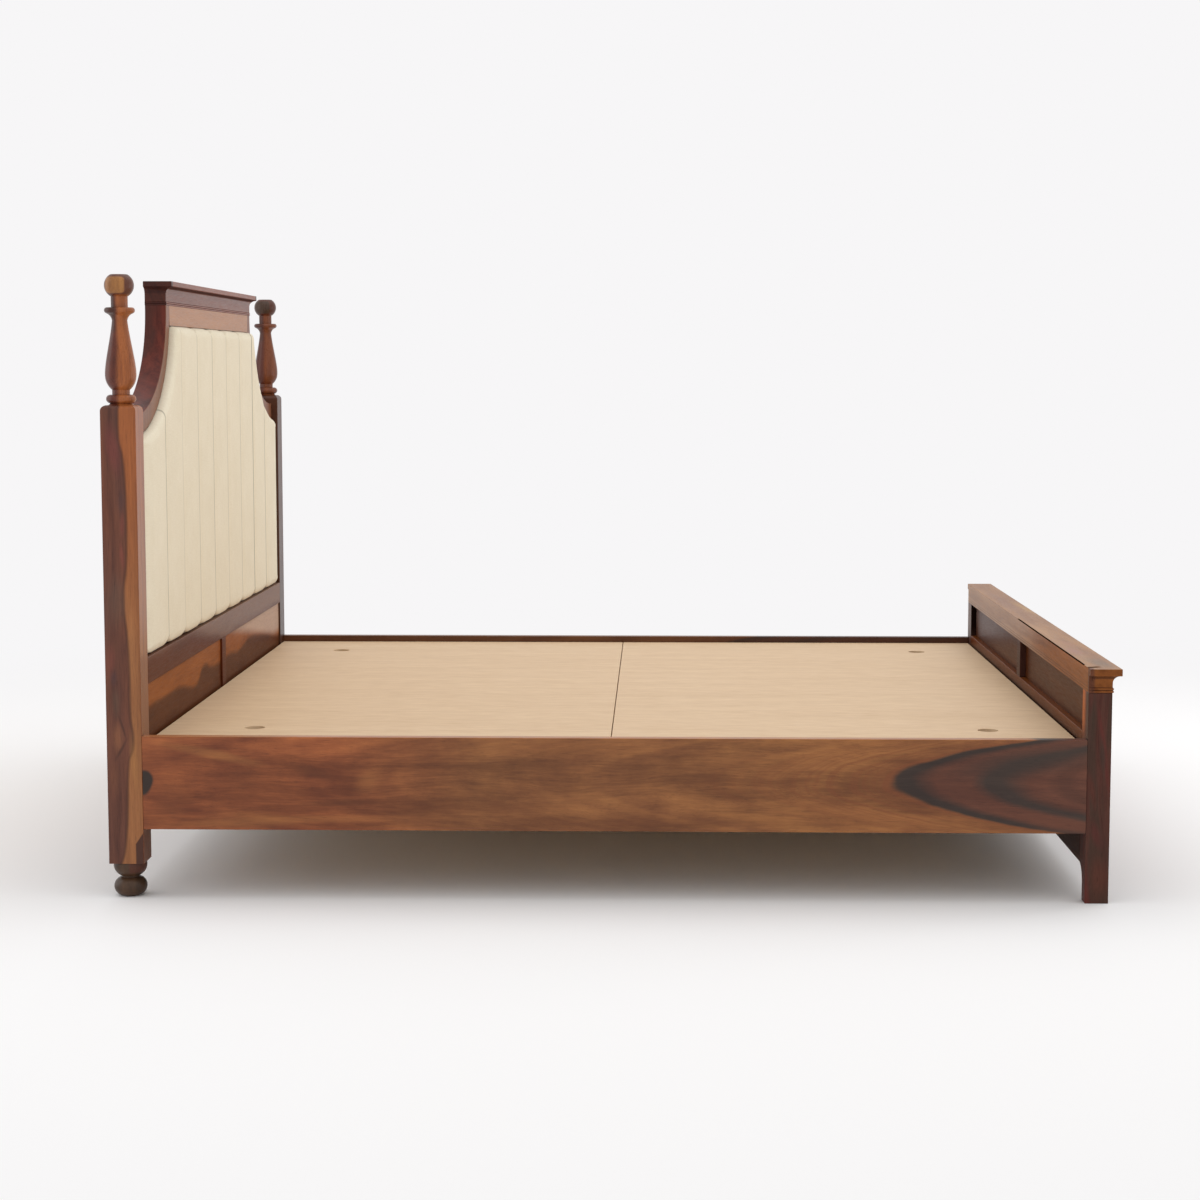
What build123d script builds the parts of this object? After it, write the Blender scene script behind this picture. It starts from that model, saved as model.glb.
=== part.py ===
from build123d import *
import os
from math import acos, asin, cos, degrees, radians, sin, sqrt

# A king-size bed frame. X runs from the headboard to the footboard, Y across and Z up. The origin is on
# the floor, under the middle of the whole bed. The left side is the one on the left hand of someone who
# stands at the foot and looks at the headboard. All sizes are in millimetres.

# Whole bed
bed_width = 1910
side_rail_length = 2000

# Head posts, which stand on turned feet and carry turned finials
head_post_size = 75
head_post_top = 1051
head_post_top_radius = 12
post_ease = 1.6

# Foot posts, whose feet narrow by a cove on the inner side
foot_post_depth = 50
foot_post_width = 68
foot_post_top = 450
foot_leg_width = 36
foot_cove_radius = 40

# Spigots that hold finials and feet in the head posts
spigot_radius = 12.5
spigot_length = 40
spigot_end_gap = 1.5

# Finials, from the bottom up
finial_groove_radius = 26.5
finial_groove_height = 4
finial_ring_radius = 31.4
finial_ring_root_radius = 23
finial_ring_height = 18
finial_neck_radius = 18.6
finial_neck_height = 10
vase_radius = 32.7
vase_top_radius = 16
vase_height = 145
vase_height_shares = (0.055, 0.124, 0.2, 0.33, 0.47, 0.68, 0.89)
vase_swell_shares = (0.58, 0.88, 0.99, 0.94, 0.76, 0.43, 0.12)
flare_reach_share = 0.3
flare_rise_share = 0.6
collar_radius = 32
collar_flat_radius = 28
flare_height = 15.5
collar_height = 12
pole_radius = 17.6
pole_height = 23
knob_radius = 31
knob_top_radius = 18
knob_height = 46

# Ball feet, from the floor up
ball_foot_height = 75
ball_sole_radius = 15
ball_radius = 35.2
ball_height = 41
ball_neck_radius = 19
ball_neck_height = 2
ball_collar_radius = 35.3
ball_collar_top_radius = 34.5
ball_collar_bulge_height = 12

# Headboard frame: wings with an elliptical curve, a frieze rail between them and a crown moulding
wing_thickness = 48
wing_setback = 18
wing_run = 337
wing_rise = 235
wing_width_at_crown = 36
wing_width_at_post = 44
wing_tenon_width = 16
wing_tenon_length = 15
wing_tenon_height = 26
crown_bottom = 1270
crown_drop = 8
frieze_height = 45

# Mouldings of the crown and of the footboard
bead_inset = 0.5
bead_swell_share = 0.46
cove_radius = 16
cap_overhang = 17
bead_count = 2
crown_bead_height = 4
crown_cove_height = 32.5
crown_cap_thickness = 13

# Lower half of the headboard, flush with the posts
lower_frame_thickness = 45
middle_rail_top = 510
middle_rail_height = 58
headboard_rail_bottom = 150
headboard_rail_height = 150
stile_width = 50
panel_thickness = 12
headboard_panel_recess = 5

# Footboard
footboard_clearance = 76
footboard_thickness = 40
footboard_rail_height = 284
footboard_panel_recess = 15
footboard_bead_height = 5.75
footboard_cove_height = 26
footboard_cap_thickness = 15
top_rail_lip = 8
top_rail_core_setback = 12

# Joints of the frames
tenon_thickness = 15
tenon_setback = 15
tenon_length = 15
tenon_shoulder = 12
groove_depth = 10
tongue_gap = 0.5
joint_fit = 0.1
mortise_end_gap = 1

# Fabric pad on its board, and the battens behind the board
pad_gap = 1.5
pad_thickness = 31
pad_board_thickness = 12
pad_board_gap = 0.5
pad_edge_radius = 18
pad_edge_steps = 4
pad_corner_radius = 25
pad_channel_width = 187
pad_channel_count = 9
pad_channel_depth = 9
batten_thickness = 20
batten_height = 60
batten_bottoms = (560, 900)

# Side rails and ledgers
side_rail_thickness = 25
side_rail_height = 200
side_rail_clearance = 150
ledger_thickness = 35
ledger_height = 40
ledger_end_gap = 2

# Deck panels with finger holes
deck_drop = 17
deck_thickness = 18
deck_side_gap = 2
deck_end_gap = 3
deck_seam_gap = 2
deck_seam_from_head = 995
deck_ease = 0.8
finger_hole_radius = 22.5
finger_hole_from_rail = 215
finger_hole_from_head = 200
finger_hole_from_foot = 175

# Bearers, beam, hangers and centre legs under the deck
bearer_width = 90
bearer_thickness = 25
bearer_end_gap = 1.5
bearers_per_half = 3
beam_width = 45
beam_height = 90
beam_end_gap = 0.5
hanger_metal = 3
hanger_seat = 50
hanger_side_gap = 0.3
hanger_drop = 5
centre_leg_size = 60
centre_leg_spacing = 620
leg_spigot_radius = 12.5
leg_spigot_length = 30
glide_radius = 22
glide_height = 10
glide_pin_radius = 3
glide_pin_length = 15

# Corner brackets and fasteners
bracket_height = 80
bracket_bottom = 165
bracket_metal = 4
bracket_post_leg = 40
bracket_rail_leg = 60
bracket_hole_spacing = 40
bracket_post_hole = 20
bracket_rail_hole = 38
bolt_radius = 4
bolt_length = 45
bolt_head_radius = 7.5
bolt_head_height = 5
screw_radius = 2.5
screw_head_radius = 5
screw_head_height = 3
bracket_screw_length = 22
hanger_screw_length = 25
wood_screw_length = 50
ledger_screw_count = 7
ledger_screw_margin = 150
pad_screw_length = 28
pad_screw_count = 4
pad_screw_spacing = 380
screw_sink = 0.5
bearer_screw_inset = 17

# Easing of the timbers, and the overrun of every cut
board_ease = 1.5
moulding_ease = 0.8
metal_ease = 0.6
cut_overrun = 5

# Places that follow from the sizes
overall_length = head_post_size + side_rail_length + foot_post_depth + cap_overhang
x_back = -overall_length / 2
x_head = x_back + head_post_size
x_foot = x_head + side_rail_length
x_out = x_foot + foot_post_depth
half_width = bed_width / 2
y_head = half_width - head_post_size
y_foot = half_width - foot_post_width
y_rail = half_width - side_rail_thickness
rail_top = side_rail_clearance + side_rail_height
deck_top = rail_top - deck_drop
deck_bottom = deck_top - deck_thickness
bearer_bottom = deck_bottom - bearer_thickness
beam_bottom = bearer_bottom - beam_height
seam_x = x_head + deck_seam_from_head
wing_front = x_head - wing_setback
wing_back = wing_front - wing_thickness
crown_half = y_head - wing_run
wing_curve_top = crown_bottom - crown_drop
frieze_bottom = crown_bottom - frieze_height
crown_cove_bottom = crown_bottom + bead_count * crown_bead_height
crown_cap_bottom = crown_cove_bottom + crown_cove_height
pad_board_back = x_head - pad_thickness - pad_board_thickness
pad_back = pad_board_back + pad_board_thickness
middle_rail_bottom = middle_rail_top - middle_rail_height
headboard_rail_top = headboard_rail_bottom + headboard_rail_height
lower_frame_x = (x_head - lower_frame_thickness, x_head)
headboard_panel_x = (x_head - headboard_panel_recess - panel_thickness, x_head - headboard_panel_recess)
footboard_x = (x_foot, x_foot + footboard_thickness)
footboard_panel_x = (x_foot + footboard_panel_recess, x_foot + footboard_panel_recess + panel_thickness)
footboard_rail_top = footboard_clearance + footboard_rail_height
footboard_cove_bottom = foot_post_top + bead_count * footboard_bead_height
footboard_cap_bottom = footboard_cove_bottom + footboard_cove_height
ledger_y = (y_rail - ledger_thickness, y_rail)
ledger_z = (bearer_bottom - ledger_height, bearer_bottom)

SIDES = {"left": -1, "right": 1}


def board(x_span, y_span, z_span, ease=board_ease):
    """Straight timber or plate that fills three spans, with all its edges eased."""
    spans = (x_span, y_span, z_span)
    block = Box(*[high - low for low, high in spans])
    block = Pos(*[(low + high) / 2 for low, high in spans]) * block
    return fillet(block.edges(), ease) if ease else block


def room(x_span, y_span, z_span, extra=0):
    """Sharp-edged block for a cut, grown on every side by the extra."""
    return board(grown(x_span, extra), grown(y_span, extra), grown(z_span, extra), ease=0)


def grown(span, extra):
    return (span[0] - extra, span[1] + extra)


def on_side(side, inner, outer):
    """Span across the bed on one side, from an inner to an outer distance off the middle."""
    return (inner, outer) if side > 0 else (-outer, -inner)


def turned(edges):
    """Solid turned about the Z axis from an outline of radius and height."""
    return revolve(Plane.XZ * make_face(edges), Axis.Z)


def cylinder_between(start, direction, radius, length):
    """Round bar that starts at a point and runs along a direction."""
    place = Plane(origin=start, z_dir=direction)
    return place * extrude(Circle(radius), length)


# Turned pieces

def finial():
    """Turned finial, with the post's top at height zero and its spigot below it."""
    ring_low = finial_groove_height
    ring_high = ring_low + finial_ring_height
    vase_low = ring_high + finial_neck_height
    vase_high = vase_low + vase_height
    collar_low = vase_high + flare_height
    collar_high = collar_low + collar_height
    knob_low = collar_high + pole_height
    knob_high = knob_low + knob_height
    swell = vase_radius - vase_top_radius
    body = [(finial_neck_radius, vase_low)]
    for height_share, swell_share in zip(vase_height_shares, vase_swell_shares):
        body.append((vase_top_radius + swell * swell_share, vase_low + vase_height * height_share))
    body.append((vase_top_radius, vase_high))
    flare_reach = (collar_flat_radius - vase_top_radius) * flare_reach_share
    edges = [
        Line((0, -spigot_length), (spigot_radius, -spigot_length)),
        Line((spigot_radius, -spigot_length), (spigot_radius, 0)),
        Line((spigot_radius, 0), (finial_groove_radius, 0)),
        Line((finial_groove_radius, 0), (finial_ring_root_radius, ring_low)),
        ThreePointArc(
            (finial_ring_root_radius, ring_low),
            (finial_ring_radius, (ring_low + ring_high) / 2),
            (finial_ring_root_radius, ring_high),
        ),
        Line((finial_ring_root_radius, ring_high), (finial_neck_radius, ring_high)),
        Line((finial_neck_radius, ring_high), (finial_neck_radius, vase_low)),
        Spline(*body),
        ThreePointArc(
            (vase_top_radius, vase_high),
            (vase_top_radius + flare_reach, vase_high + flare_height * flare_rise_share),
            (collar_flat_radius, collar_low),
        ),
        ThreePointArc(
            (collar_flat_radius, collar_low),
            (collar_radius, (collar_low + collar_high) / 2),
            (collar_flat_radius, collar_high),
        ),
        Line((collar_flat_radius, collar_high), (pole_radius, collar_high)),
        Line((pole_radius, collar_high), (pole_radius, knob_low)),
        ThreePointArc(
            (pole_radius, knob_low),
            (knob_radius, (knob_low + knob_high) / 2),
            (knob_top_radius, knob_high),
        ),
        Line((knob_top_radius, knob_high), (0, knob_high)),
        Line((0, knob_high), (0, -spigot_length)),
    ]
    return turned(edges)


def ball_foot():
    """Turned foot, a ball under a rounded collar, with its spigot above the post's bottom."""
    neck_high = ball_height + ball_neck_height
    collar_middle = ball_foot_height - ball_collar_bulge_height
    edges = [
        Line((0, 0), (ball_sole_radius, 0)),
        ThreePointArc(
            (ball_sole_radius, 0),
            (ball_radius, ball_height / 2),
            (ball_neck_radius, ball_height),
        ),
        Line((ball_neck_radius, ball_height), (ball_neck_radius, neck_high)),
        ThreePointArc(
            (ball_neck_radius, neck_high),
            (ball_collar_radius, collar_middle),
            (ball_collar_top_radius, ball_foot_height),
        ),
        Line((ball_collar_top_radius, ball_foot_height), (spigot_radius, ball_foot_height)),
        Line((spigot_radius, ball_foot_height), (spigot_radius, ball_foot_height + spigot_length)),
        Line((spigot_radius, ball_foot_height + spigot_length), (0, ball_foot_height + spigot_length)),
        Line((0, ball_foot_height + spigot_length), (0, 0)),
    ]
    return turned(edges)


# Joint cuts that several pieces share

def tenon_x(span):
    """Place of a tenon in the thickness of a frame, counted from its inner face."""
    if span[0] == x_foot:
        return (span[0] + tenon_setback, span[0] + tenon_setback + tenon_thickness)
    return (span[1] - tenon_setback - tenon_thickness, span[1] - tenon_setback)


def tenoned_rail(x_span, half_length, z_span):
    """Cross rail with a stub tenon at both ends."""
    rail = board(x_span, (-half_length, half_length), z_span)
    return rail + tenon_bar(x_span, half_length, z_span)


def tenon_bar(x_span, half_length, z_span, fit=0, end_gap=0):
    """Bar in the middle of a cross rail whose ends are its tenons, or that cuts their mortises."""
    reach = half_length + tenon_length + end_gap
    return board(
        grown(tenon_x(x_span), fit),
        (-reach, reach),
        (z_span[0] + tenon_shoulder - fit, z_span[1] - tenon_shoulder + fit),
        ease=0,
    )


def panel_room(x_span, half_length, z_span, side):
    """Space of a panel and of the grooves round it."""
    y_span = on_side(side, stile_width / 2, half_length)
    return board(
        grown(x_span, joint_fit),
        grown(y_span, groove_depth),
        grown(z_span, groove_depth),
        ease=0,
    )


def panel(x_span, half_length, z_span, side):
    """Flat panel with its edges in the grooves of its frame."""
    tongue = groove_depth - tongue_gap
    y_span = on_side(side, stile_width / 2, half_length)
    return board(x_span, grown(y_span, tongue), grown(z_span, tongue), ease=0)


def headboard_panel_z():
    return (headboard_rail_top, middle_rail_bottom)


def footboard_panel_z():
    return (footboard_rail_top, foot_post_top)


def cut_panel_grooves(piece, x_span, half_length, z_span):
    for side in SIDES.values():
        piece = piece - panel_room(x_span, half_length, z_span, side)
    return piece


# Headboard

def head_post(side):
    """Square post with a rounded top, mortised for the rails and bored for finial and foot."""
    post = room((x_back, x_head), on_side(side, y_head, half_width), (ball_foot_height, head_post_top))
    post = fillet(post.edges().group_by(Axis.Z)[-1], head_post_top_radius)
    post = fillet(post.edges().filter_by(Axis.Z), post_ease)
    axis_x = (x_back + x_head) / 2
    axis_y = side * (y_head + half_width) / 2
    depth = spigot_length + spigot_end_gap
    for z_start, direction in ((head_post_top, -1), (ball_foot_height, 1)):
        post = post - cylinder_between(
            (axis_x, axis_y, z_start), (0, 0, direction), spigot_radius + joint_fit, depth)
    for z_span in (headboard_bottom_z(), middle_rail_z()):
        post = post - tenon_bar(lower_frame_x, y_head, z_span, joint_fit, mortise_end_gap)
    post = cut_panel_grooves(post, headboard_panel_x, y_head, headboard_panel_z())
    return post - wing_tenon(side, joint_fit, mortise_end_gap) - bracket_fastener_holes(side)


def headboard_bottom_z():
    return (headboard_rail_bottom, headboard_rail_top)


def middle_rail_z():
    return (middle_rail_bottom, middle_rail_top)


def wing_arc(side, grow_y, grow_z, from_angle, to_angle):
    """Quarter of an ellipse about the post's inner face, at the height where the wing's curve starts."""
    return EllipticalCenterArc(
        (side * y_head, wing_curve_top),
        wing_run + grow_y,
        wing_rise + grow_z,
        start_angle=from_angle,
        arc_size=to_angle - from_angle,
    )


def wing(side):
    """Curved wing from the head post up to the crown, as thick as the frieze rail."""
    outer = wing_arc(1, 0, 0, 180, 270)
    inner = wing_arc(1, wing_width_at_crown, wing_width_at_post, 180, 270)
    inner_top = y_head - wing_run - wing_width_at_crown
    foot_top = wing_curve_top - wing_rise
    edges = [
        outer,
        inner,
        Line((crown_half, wing_curve_top), (crown_half, crown_bottom)),
        Line((inner_top, wing_curve_top), (inner_top, crown_bottom)),
        Line((crown_half, crown_bottom), (inner_top, crown_bottom)),
        Line((y_head, foot_top), (y_head, foot_top - wing_width_at_post)),
    ]
    plane = Plane(origin=(wing_back, 0, 0), x_dir=(0, 1, 0), z_dir=(1, 0, 0))
    solid = plane * extrude(make_face(edges), wing_thickness)
    solid = fillet(solid.edges().filter_by(GeomType.ELLIPSE), board_ease)
    if side < 0:
        solid = mirror(solid, about=Plane.XZ)
    return solid + wing_tenon(side)


def wing_tenon(side, fit=0, end_gap=0):
    middle_x = (wing_back + wing_front) / 2
    middle_z = wing_curve_top - wing_rise - wing_width_at_post / 2
    return board(
        grown((middle_x, middle_x), wing_tenon_width / 2 + fit),
        on_side(side, y_head - fit - end_gap, y_head + wing_tenon_length + end_gap),
        grown((middle_z, middle_z), wing_tenon_height / 2 + fit),
        ease=0,
    )


def frieze_rail():
    """Rail between the tops of the wings, under the crown moulding."""
    half = crown_half - wing_width_at_crown
    return board((wing_back, wing_front), (-half, half), (frieze_bottom, crown_bottom), ease=0)


# Mouldings: a profile goes round the front and both ends with mitred corners

def bead_run(face, out, z_low, z_high):
    """Outline of half-round beads, one above the other, beside a face."""
    root = face - out * bead_inset
    height = (z_high - z_low) / bead_count
    crest = root + out * height * bead_swell_share
    edges = []
    for index in range(bead_count):
        low = z_low + index * height
        edges.append(ThreePointArc((root, low), (crest, low + height / 2), (root, low + height)))
    return edges, (root, z_low), (root, z_high)


def cove_run(face, out, z_low, z_high):
    """Outline of a straight neck that turns outwards in a quarter circle."""
    turn = z_high - cove_radius
    middle = cove_radius * (1 - sin(radians(45)))
    tip = face + out * cove_radius
    edges = [
        Line((face, z_low), (face, turn)),
        ThreePointArc((face, turn), (face + out * middle, z_high - middle), (tip, z_high)),
    ]
    return edges, (face, z_low), (tip, z_high)


def moulding(run, x_start, x_face, y_face, z_low, z_high):
    """Moulding whose profile shows on the side of an X face and on both ends."""
    edges, foot, head = run(x_face, 1, z_low, z_high)
    front = make_face(edges + [
        Line(head, (x_start, z_high)),
        Line((x_start, z_high), (x_start, z_low)),
        Line((x_start, z_low), foot),
    ])
    right, right_foot, right_head = run(y_face, 1, z_low, z_high)
    left, left_foot, left_head = run(-y_face, -1, z_low, z_high)
    ends = make_face(right + left + [Line(right_head, left_head), Line(right_foot, left_foot)])
    length = y_face + cove_radius + cut_overrun
    depth = x_face - x_start + cove_radius + cut_overrun
    along = Plane(origin=(0, length, 0), x_dir=(1, 0, 0), z_dir=(0, -1, 0)) * extrude(front, 2 * length)
    plane = Plane(origin=(x_start - cut_overrun, 0, 0), x_dir=(0, 1, 0), z_dir=(1, 0, 0))
    across = plane * extrude(ends, depth + cut_overrun)
    return along & across


def crown_beads():
    return moulding(bead_run, wing_back, wing_front, crown_half, crown_bottom, crown_cove_bottom)


def crown_cove():
    return moulding(cove_run, wing_back, wing_front, crown_half, crown_cove_bottom, crown_cap_bottom)


def crown_cap():
    half = crown_half + cap_overhang
    return board(
        (wing_back, wing_front + cap_overhang),
        (-half, half),
        (crown_cap_bottom, crown_cap_bottom + crown_cap_thickness),
    )


# Pad, its board and the battens

def pad_outline(gap, inset, corner_radius):
    """Edges of the opening between posts, wings, frieze and middle rail, drawn in on every side."""
    shrink = gap + inset
    radius_y = wing_run + wing_width_at_crown + shrink
    radius_z = wing_rise + wing_width_at_post + shrink
    side_y = y_head - shrink
    bottom_z = middle_rail_top + shrink
    top_z = frieze_bottom - shrink
    low_angle = 180 + degrees(acos(shrink / radius_y))
    high_angle = 180 + degrees(asin((wing_curve_top - top_z) / radius_z))
    side_z = wing_curve_top - radius_z * sin(radians(low_angle - 180))
    top_y = y_head - radius_y * cos(radians(high_angle - 180))
    grow_y = wing_width_at_crown + shrink
    grow_z = wing_width_at_post + shrink
    corner = corner_radius * (1 - sin(radians(45)))
    edges = [
        wing_arc(1, grow_y, grow_z, high_angle, low_angle),
        wing_arc(-1, grow_y, grow_z, 540 - low_angle, 540 - high_angle),
        Line((-top_y, top_z), (top_y, top_z)),
        Line((corner_radius - side_y, bottom_z), (side_y - corner_radius, bottom_z)),
    ]
    for side in SIDES.values():
        edges.append(Line((side * side_y, bottom_z + corner_radius), (side * side_y, side_z)))
        if corner_radius:
            edges.append(ThreePointArc(
                (side * (side_y - corner_radius), bottom_z),
                (side * (side_y - corner), bottom_z + corner),
                (side * side_y, bottom_z + corner_radius),
            ))
    return edges


def pad_plane(x_place):
    return Plane(origin=(x_place, 0, 0), x_dir=(0, 1, 0), z_dir=(1, 0, 0))


def pad_board():
    """Plywood that closes the opening and carries the pad."""
    face = make_face(pad_outline(pad_board_gap, 0, 0))
    seated = pad_plane(pad_board_back) * extrude(face, pad_board_thickness)
    return seated - placed_screws(pad_screw_places(), joint_fit)


def seam_places():
    """Places of the seams between the channels, across the bed."""
    first = -pad_channel_width * (pad_channel_count - 2) / 2
    return [first + index * pad_channel_width for index in range(pad_channel_count - 1)]


def upholstered_pad():
    """Stuffed pad: a rounded rim, and channels that swell between sewn seams."""
    sections = [pad_plane(pad_back) * make_face(pad_outline(pad_gap, 0, pad_corner_radius))]
    for step in range(pad_edge_steps):
        turn = radians(90 * step / pad_edge_steps)
        depth = pad_thickness - pad_edge_radius + pad_edge_radius * sin(turn)
        inset = pad_edge_radius * (1 - cos(turn))
        outline = pad_outline(pad_gap, inset, pad_corner_radius)
        sections.append(pad_plane(pad_back + depth) * make_face(outline))
    top_inset = pad_edge_radius
    sections.append(pad_plane(x_head) * make_face(pad_outline(pad_gap, top_inset, pad_corner_radius)))
    rim = loft(sections, ruled=True)
    return rim & channel_block()


def channel_block():
    """Block as high as the pad whose front is a row of arcs, one for each channel."""
    half = y_head
    stops = [-half] + seam_places() + [half]
    valley = x_head - pad_channel_depth
    back = pad_back - cut_overrun
    edges = []
    for low, high in zip(stops[:-1], stops[1:]):
        edges.append(ThreePointArc((valley, low), (x_head, (low + high) / 2), (valley, high)))
    edges.append(Line((valley, half), (back, half)))
    edges.append(Line((back, half), (back, -half)))
    edges.append(Line((back, -half), (valley, -half)))
    bottom = middle_rail_top - cut_overrun
    face = Pos(0, 0, bottom) * make_face(edges)
    return extrude(face, frieze_bottom + cut_overrun - bottom)


def back_batten(z_low):
    """Batten between the head posts, behind the pad's board."""
    x_span = (pad_board_back - batten_thickness, pad_board_back)
    batten = board(x_span, (-y_head, y_head), (z_low, z_low + batten_height))
    return batten - placed_screws(pad_screw_places(), joint_fit)


# Lower headboard

def middle_rail():
    rail = tenoned_rail(lower_frame_x, y_head, middle_rail_z())
    return cut_panel_grooves(rail, headboard_panel_x, y_head, headboard_panel_z())


def headboard_bottom_rail():
    rail = tenoned_rail(lower_frame_x, y_head, headboard_bottom_z())
    rail = cut_panel_grooves(rail, headboard_panel_x, y_head, headboard_panel_z())
    return rail - placed_screws(hanger_screw_places(-1), joint_fit)


def headboard_stile():
    stile = board(lower_frame_x, (-stile_width / 2, stile_width / 2), headboard_panel_z())
    return cut_panel_grooves(stile, headboard_panel_x, y_head, headboard_panel_z())


# Footboard

def foot_post(side):
    """Post whose foot narrows by a cove on the inner side, mortised for the footboard."""
    inner_foot = half_width - foot_leg_width
    cove_y = inner_foot - foot_cove_radius
    cove_z = footboard_clearance - sqrt(foot_cove_radius ** 2 - (y_foot - cove_y) ** 2)
    turn = asin((footboard_clearance - cove_z) / foot_cove_radius) / 2
    middle = (cove_y + foot_cove_radius * cos(turn), cove_z + foot_cove_radius * sin(turn))
    outline = make_face([
        Line((half_width, 0), (half_width, foot_post_top)),
        Line((half_width, foot_post_top), (y_foot, foot_post_top)),
        Line((y_foot, foot_post_top), (y_foot, footboard_clearance)),
        ThreePointArc((y_foot, footboard_clearance), middle, (inner_foot, cove_z)),
        Line((inner_foot, cove_z), (inner_foot, 0)),
        Line((inner_foot, 0), (half_width, 0)),
    ])
    plane = Plane(origin=(x_foot, 0, 0), x_dir=(0, 1, 0), z_dir=(1, 0, 0))
    post = plane * extrude(outline, foot_post_depth)
    post = fillet(post.edges(), post_ease)
    if side < 0:
        post = mirror(post, about=Plane.XZ)
    post = post - tenon_bar(footboard_x, y_foot, footboard_bottom_z(), joint_fit, mortise_end_gap)
    post = cut_panel_grooves(post, footboard_panel_x, y_foot, footboard_panel_z())
    return post - bracket_fastener_holes(side)


def footboard_bottom_z():
    return (footboard_clearance, footboard_rail_top)


def footboard_bottom_rail():
    rail = tenoned_rail(footboard_x, y_foot, footboard_bottom_z())
    rail = cut_panel_grooves(rail, footboard_panel_x, y_foot, footboard_panel_z())
    return rail - placed_screws(hanger_screw_places(1), joint_fit)


def footboard_stile():
    stile = board(footboard_x, (-stile_width / 2, stile_width / 2), footboard_panel_z())
    return cut_panel_grooves(stile, footboard_panel_x, y_foot, footboard_panel_z())


def top_rail_core():
    """Part of the footboard's top rail that the mouldings go round."""
    half = half_width - top_rail_core_setback
    x_span = (x_foot + top_rail_lip, x_out - top_rail_core_setback)
    return board(x_span, (-half, half), (foot_post_top, footboard_cap_bottom), ease=0)


def footboard_top_rail():
    """Top rail on the posts: a lip that shows on the inner side, and the core behind it."""
    lip = board(
        (x_foot, x_foot + top_rail_lip),
        (-half_width, half_width),
        (foot_post_top, footboard_cap_bottom),
        ease=0,
    )
    rail = lip + top_rail_core()
    return cut_panel_grooves(rail, footboard_panel_x, y_foot, footboard_panel_z())


def footboard_beads():
    start = x_foot + top_rail_lip
    strip = moulding(bead_run, start, x_out, half_width, foot_post_top, footboard_cove_bottom)
    return strip - top_rail_core()


def footboard_cove():
    start = x_foot + top_rail_lip
    strip = moulding(cove_run, start, x_out, half_width, footboard_cove_bottom, footboard_cap_bottom)
    return strip - top_rail_core()


def footboard_cap():
    """Cap of the footboard; its lower inner edge stays sharp, so the joint on the top rail closes flush."""
    half = half_width + cap_overhang
    block = board(
        (x_foot, x_out + cap_overhang),
        (-half, half),
        (footboard_cap_bottom, footboard_cap_bottom + footboard_cap_thickness),
        ease=0,
    )
    inner_face = block.faces().sort_by(Axis.X)[0]
    sharp = inner_face.edges().sort_by(Axis.Z)[0]
    return fillet([edge for edge in block.edges() if not edge.is_same(sharp)], board_ease)


# Side rails, ledgers, deck and what carries it

def side_rail(side):
    rail = board((x_head, x_foot), on_side(side, y_rail, half_width), (side_rail_clearance, rail_top))
    rail = rail - placed_screws(ledger_screw_places(side), joint_fit)
    return rail - bracket_fastener_holes(side)


def ledger(side):
    piece = board((x_head + ledger_end_gap, x_foot - ledger_end_gap), on_side(side, *ledger_y), ledger_z)
    piece = piece - placed_screws(ledger_screw_places(side), joint_fit)
    return piece - placed_screws(bearer_screw_places(), joint_fit)


def bearer_places():
    """Middles of the bearers: evenly from the head to the seam, and from the seam to the foot."""
    first = x_head + deck_end_gap + bearer_width / 2
    last = x_foot - deck_end_gap - bearer_width / 2
    head_step = (seam_x - first) / bearers_per_half
    foot_step = (last - seam_x) / bearers_per_half
    places = [first + index * head_step for index in range(bearers_per_half)]
    return places + [seam_x + index * foot_step for index in range(bearers_per_half + 1)]


def bearer(x_place):
    half = y_rail - bearer_end_gap
    piece = board(
        grown((x_place, x_place), bearer_width / 2), (-half, half), (bearer_bottom, deck_bottom))
    return piece - placed_screws(bearer_screw_places(), joint_fit)


def deck_panel(x_low, x_high, hole_x):
    """Loose plywood panel with two finger holes."""
    half = y_rail - deck_side_gap
    piece = board((x_low, x_high), (-half, half), (deck_bottom, deck_top), ease=deck_ease)
    for side in SIDES.values():
        hole_y = side * (y_rail - finger_hole_from_rail)
        start = (hole_x, hole_y, deck_bottom - cut_overrun)
        piece = piece - cylinder_between(
            start, (0, 0, 1), finger_hole_radius, deck_thickness + 2 * cut_overrun)
    rims = piece.edges().filter_by(GeomType.CIRCLE)
    return fillet(rims, deck_ease)


def beam_ends():
    gap = hanger_metal + beam_end_gap
    return (x_head + gap, x_foot - gap)


def centre_beam():
    """Beam along the middle, bored below for the spigots of the centre legs."""
    beam = board(beam_ends(), (-beam_width / 2, beam_width / 2), (beam_bottom, bearer_bottom))
    for x_place in centre_leg_places():
        beam = beam - cylinder_between(
            (x_place, 0, beam_bottom), (0, 0, 1),
            leg_spigot_radius + joint_fit, leg_spigot_length + spigot_end_gap)
    return beam


def beam_hanger(end):
    """Folded steel seat that holds one end of the beam."""
    face = x_head if end < 0 else x_foot
    half = beam_width / 2 + hanger_side_gap
    low = beam_bottom - hanger_metal

    def along(near, far):
        return (face + near, face + far) if end < 0 else (face - far, face - near)

    top = bearer_bottom - hanger_drop
    back = room(along(0, hanger_metal), (-half - hanger_metal, half + hanger_metal), (low, top))
    seat = room(along(0, hanger_seat), (-half - hanger_metal, half + hanger_metal), (low, beam_bottom))
    hanger = back + seat
    for side in SIDES.values():
        cheek = on_side(side, half, half + hanger_metal)
        hanger = hanger + room(along(0, hanger_seat), cheek, (low, top))
    return hanger - placed_screws(hanger_screw_places(end), joint_fit)


def centre_leg_places():
    middle = (x_head + x_foot) / 2
    return [middle + index * centre_leg_spacing for index in (-1, 0, 1)]


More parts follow.
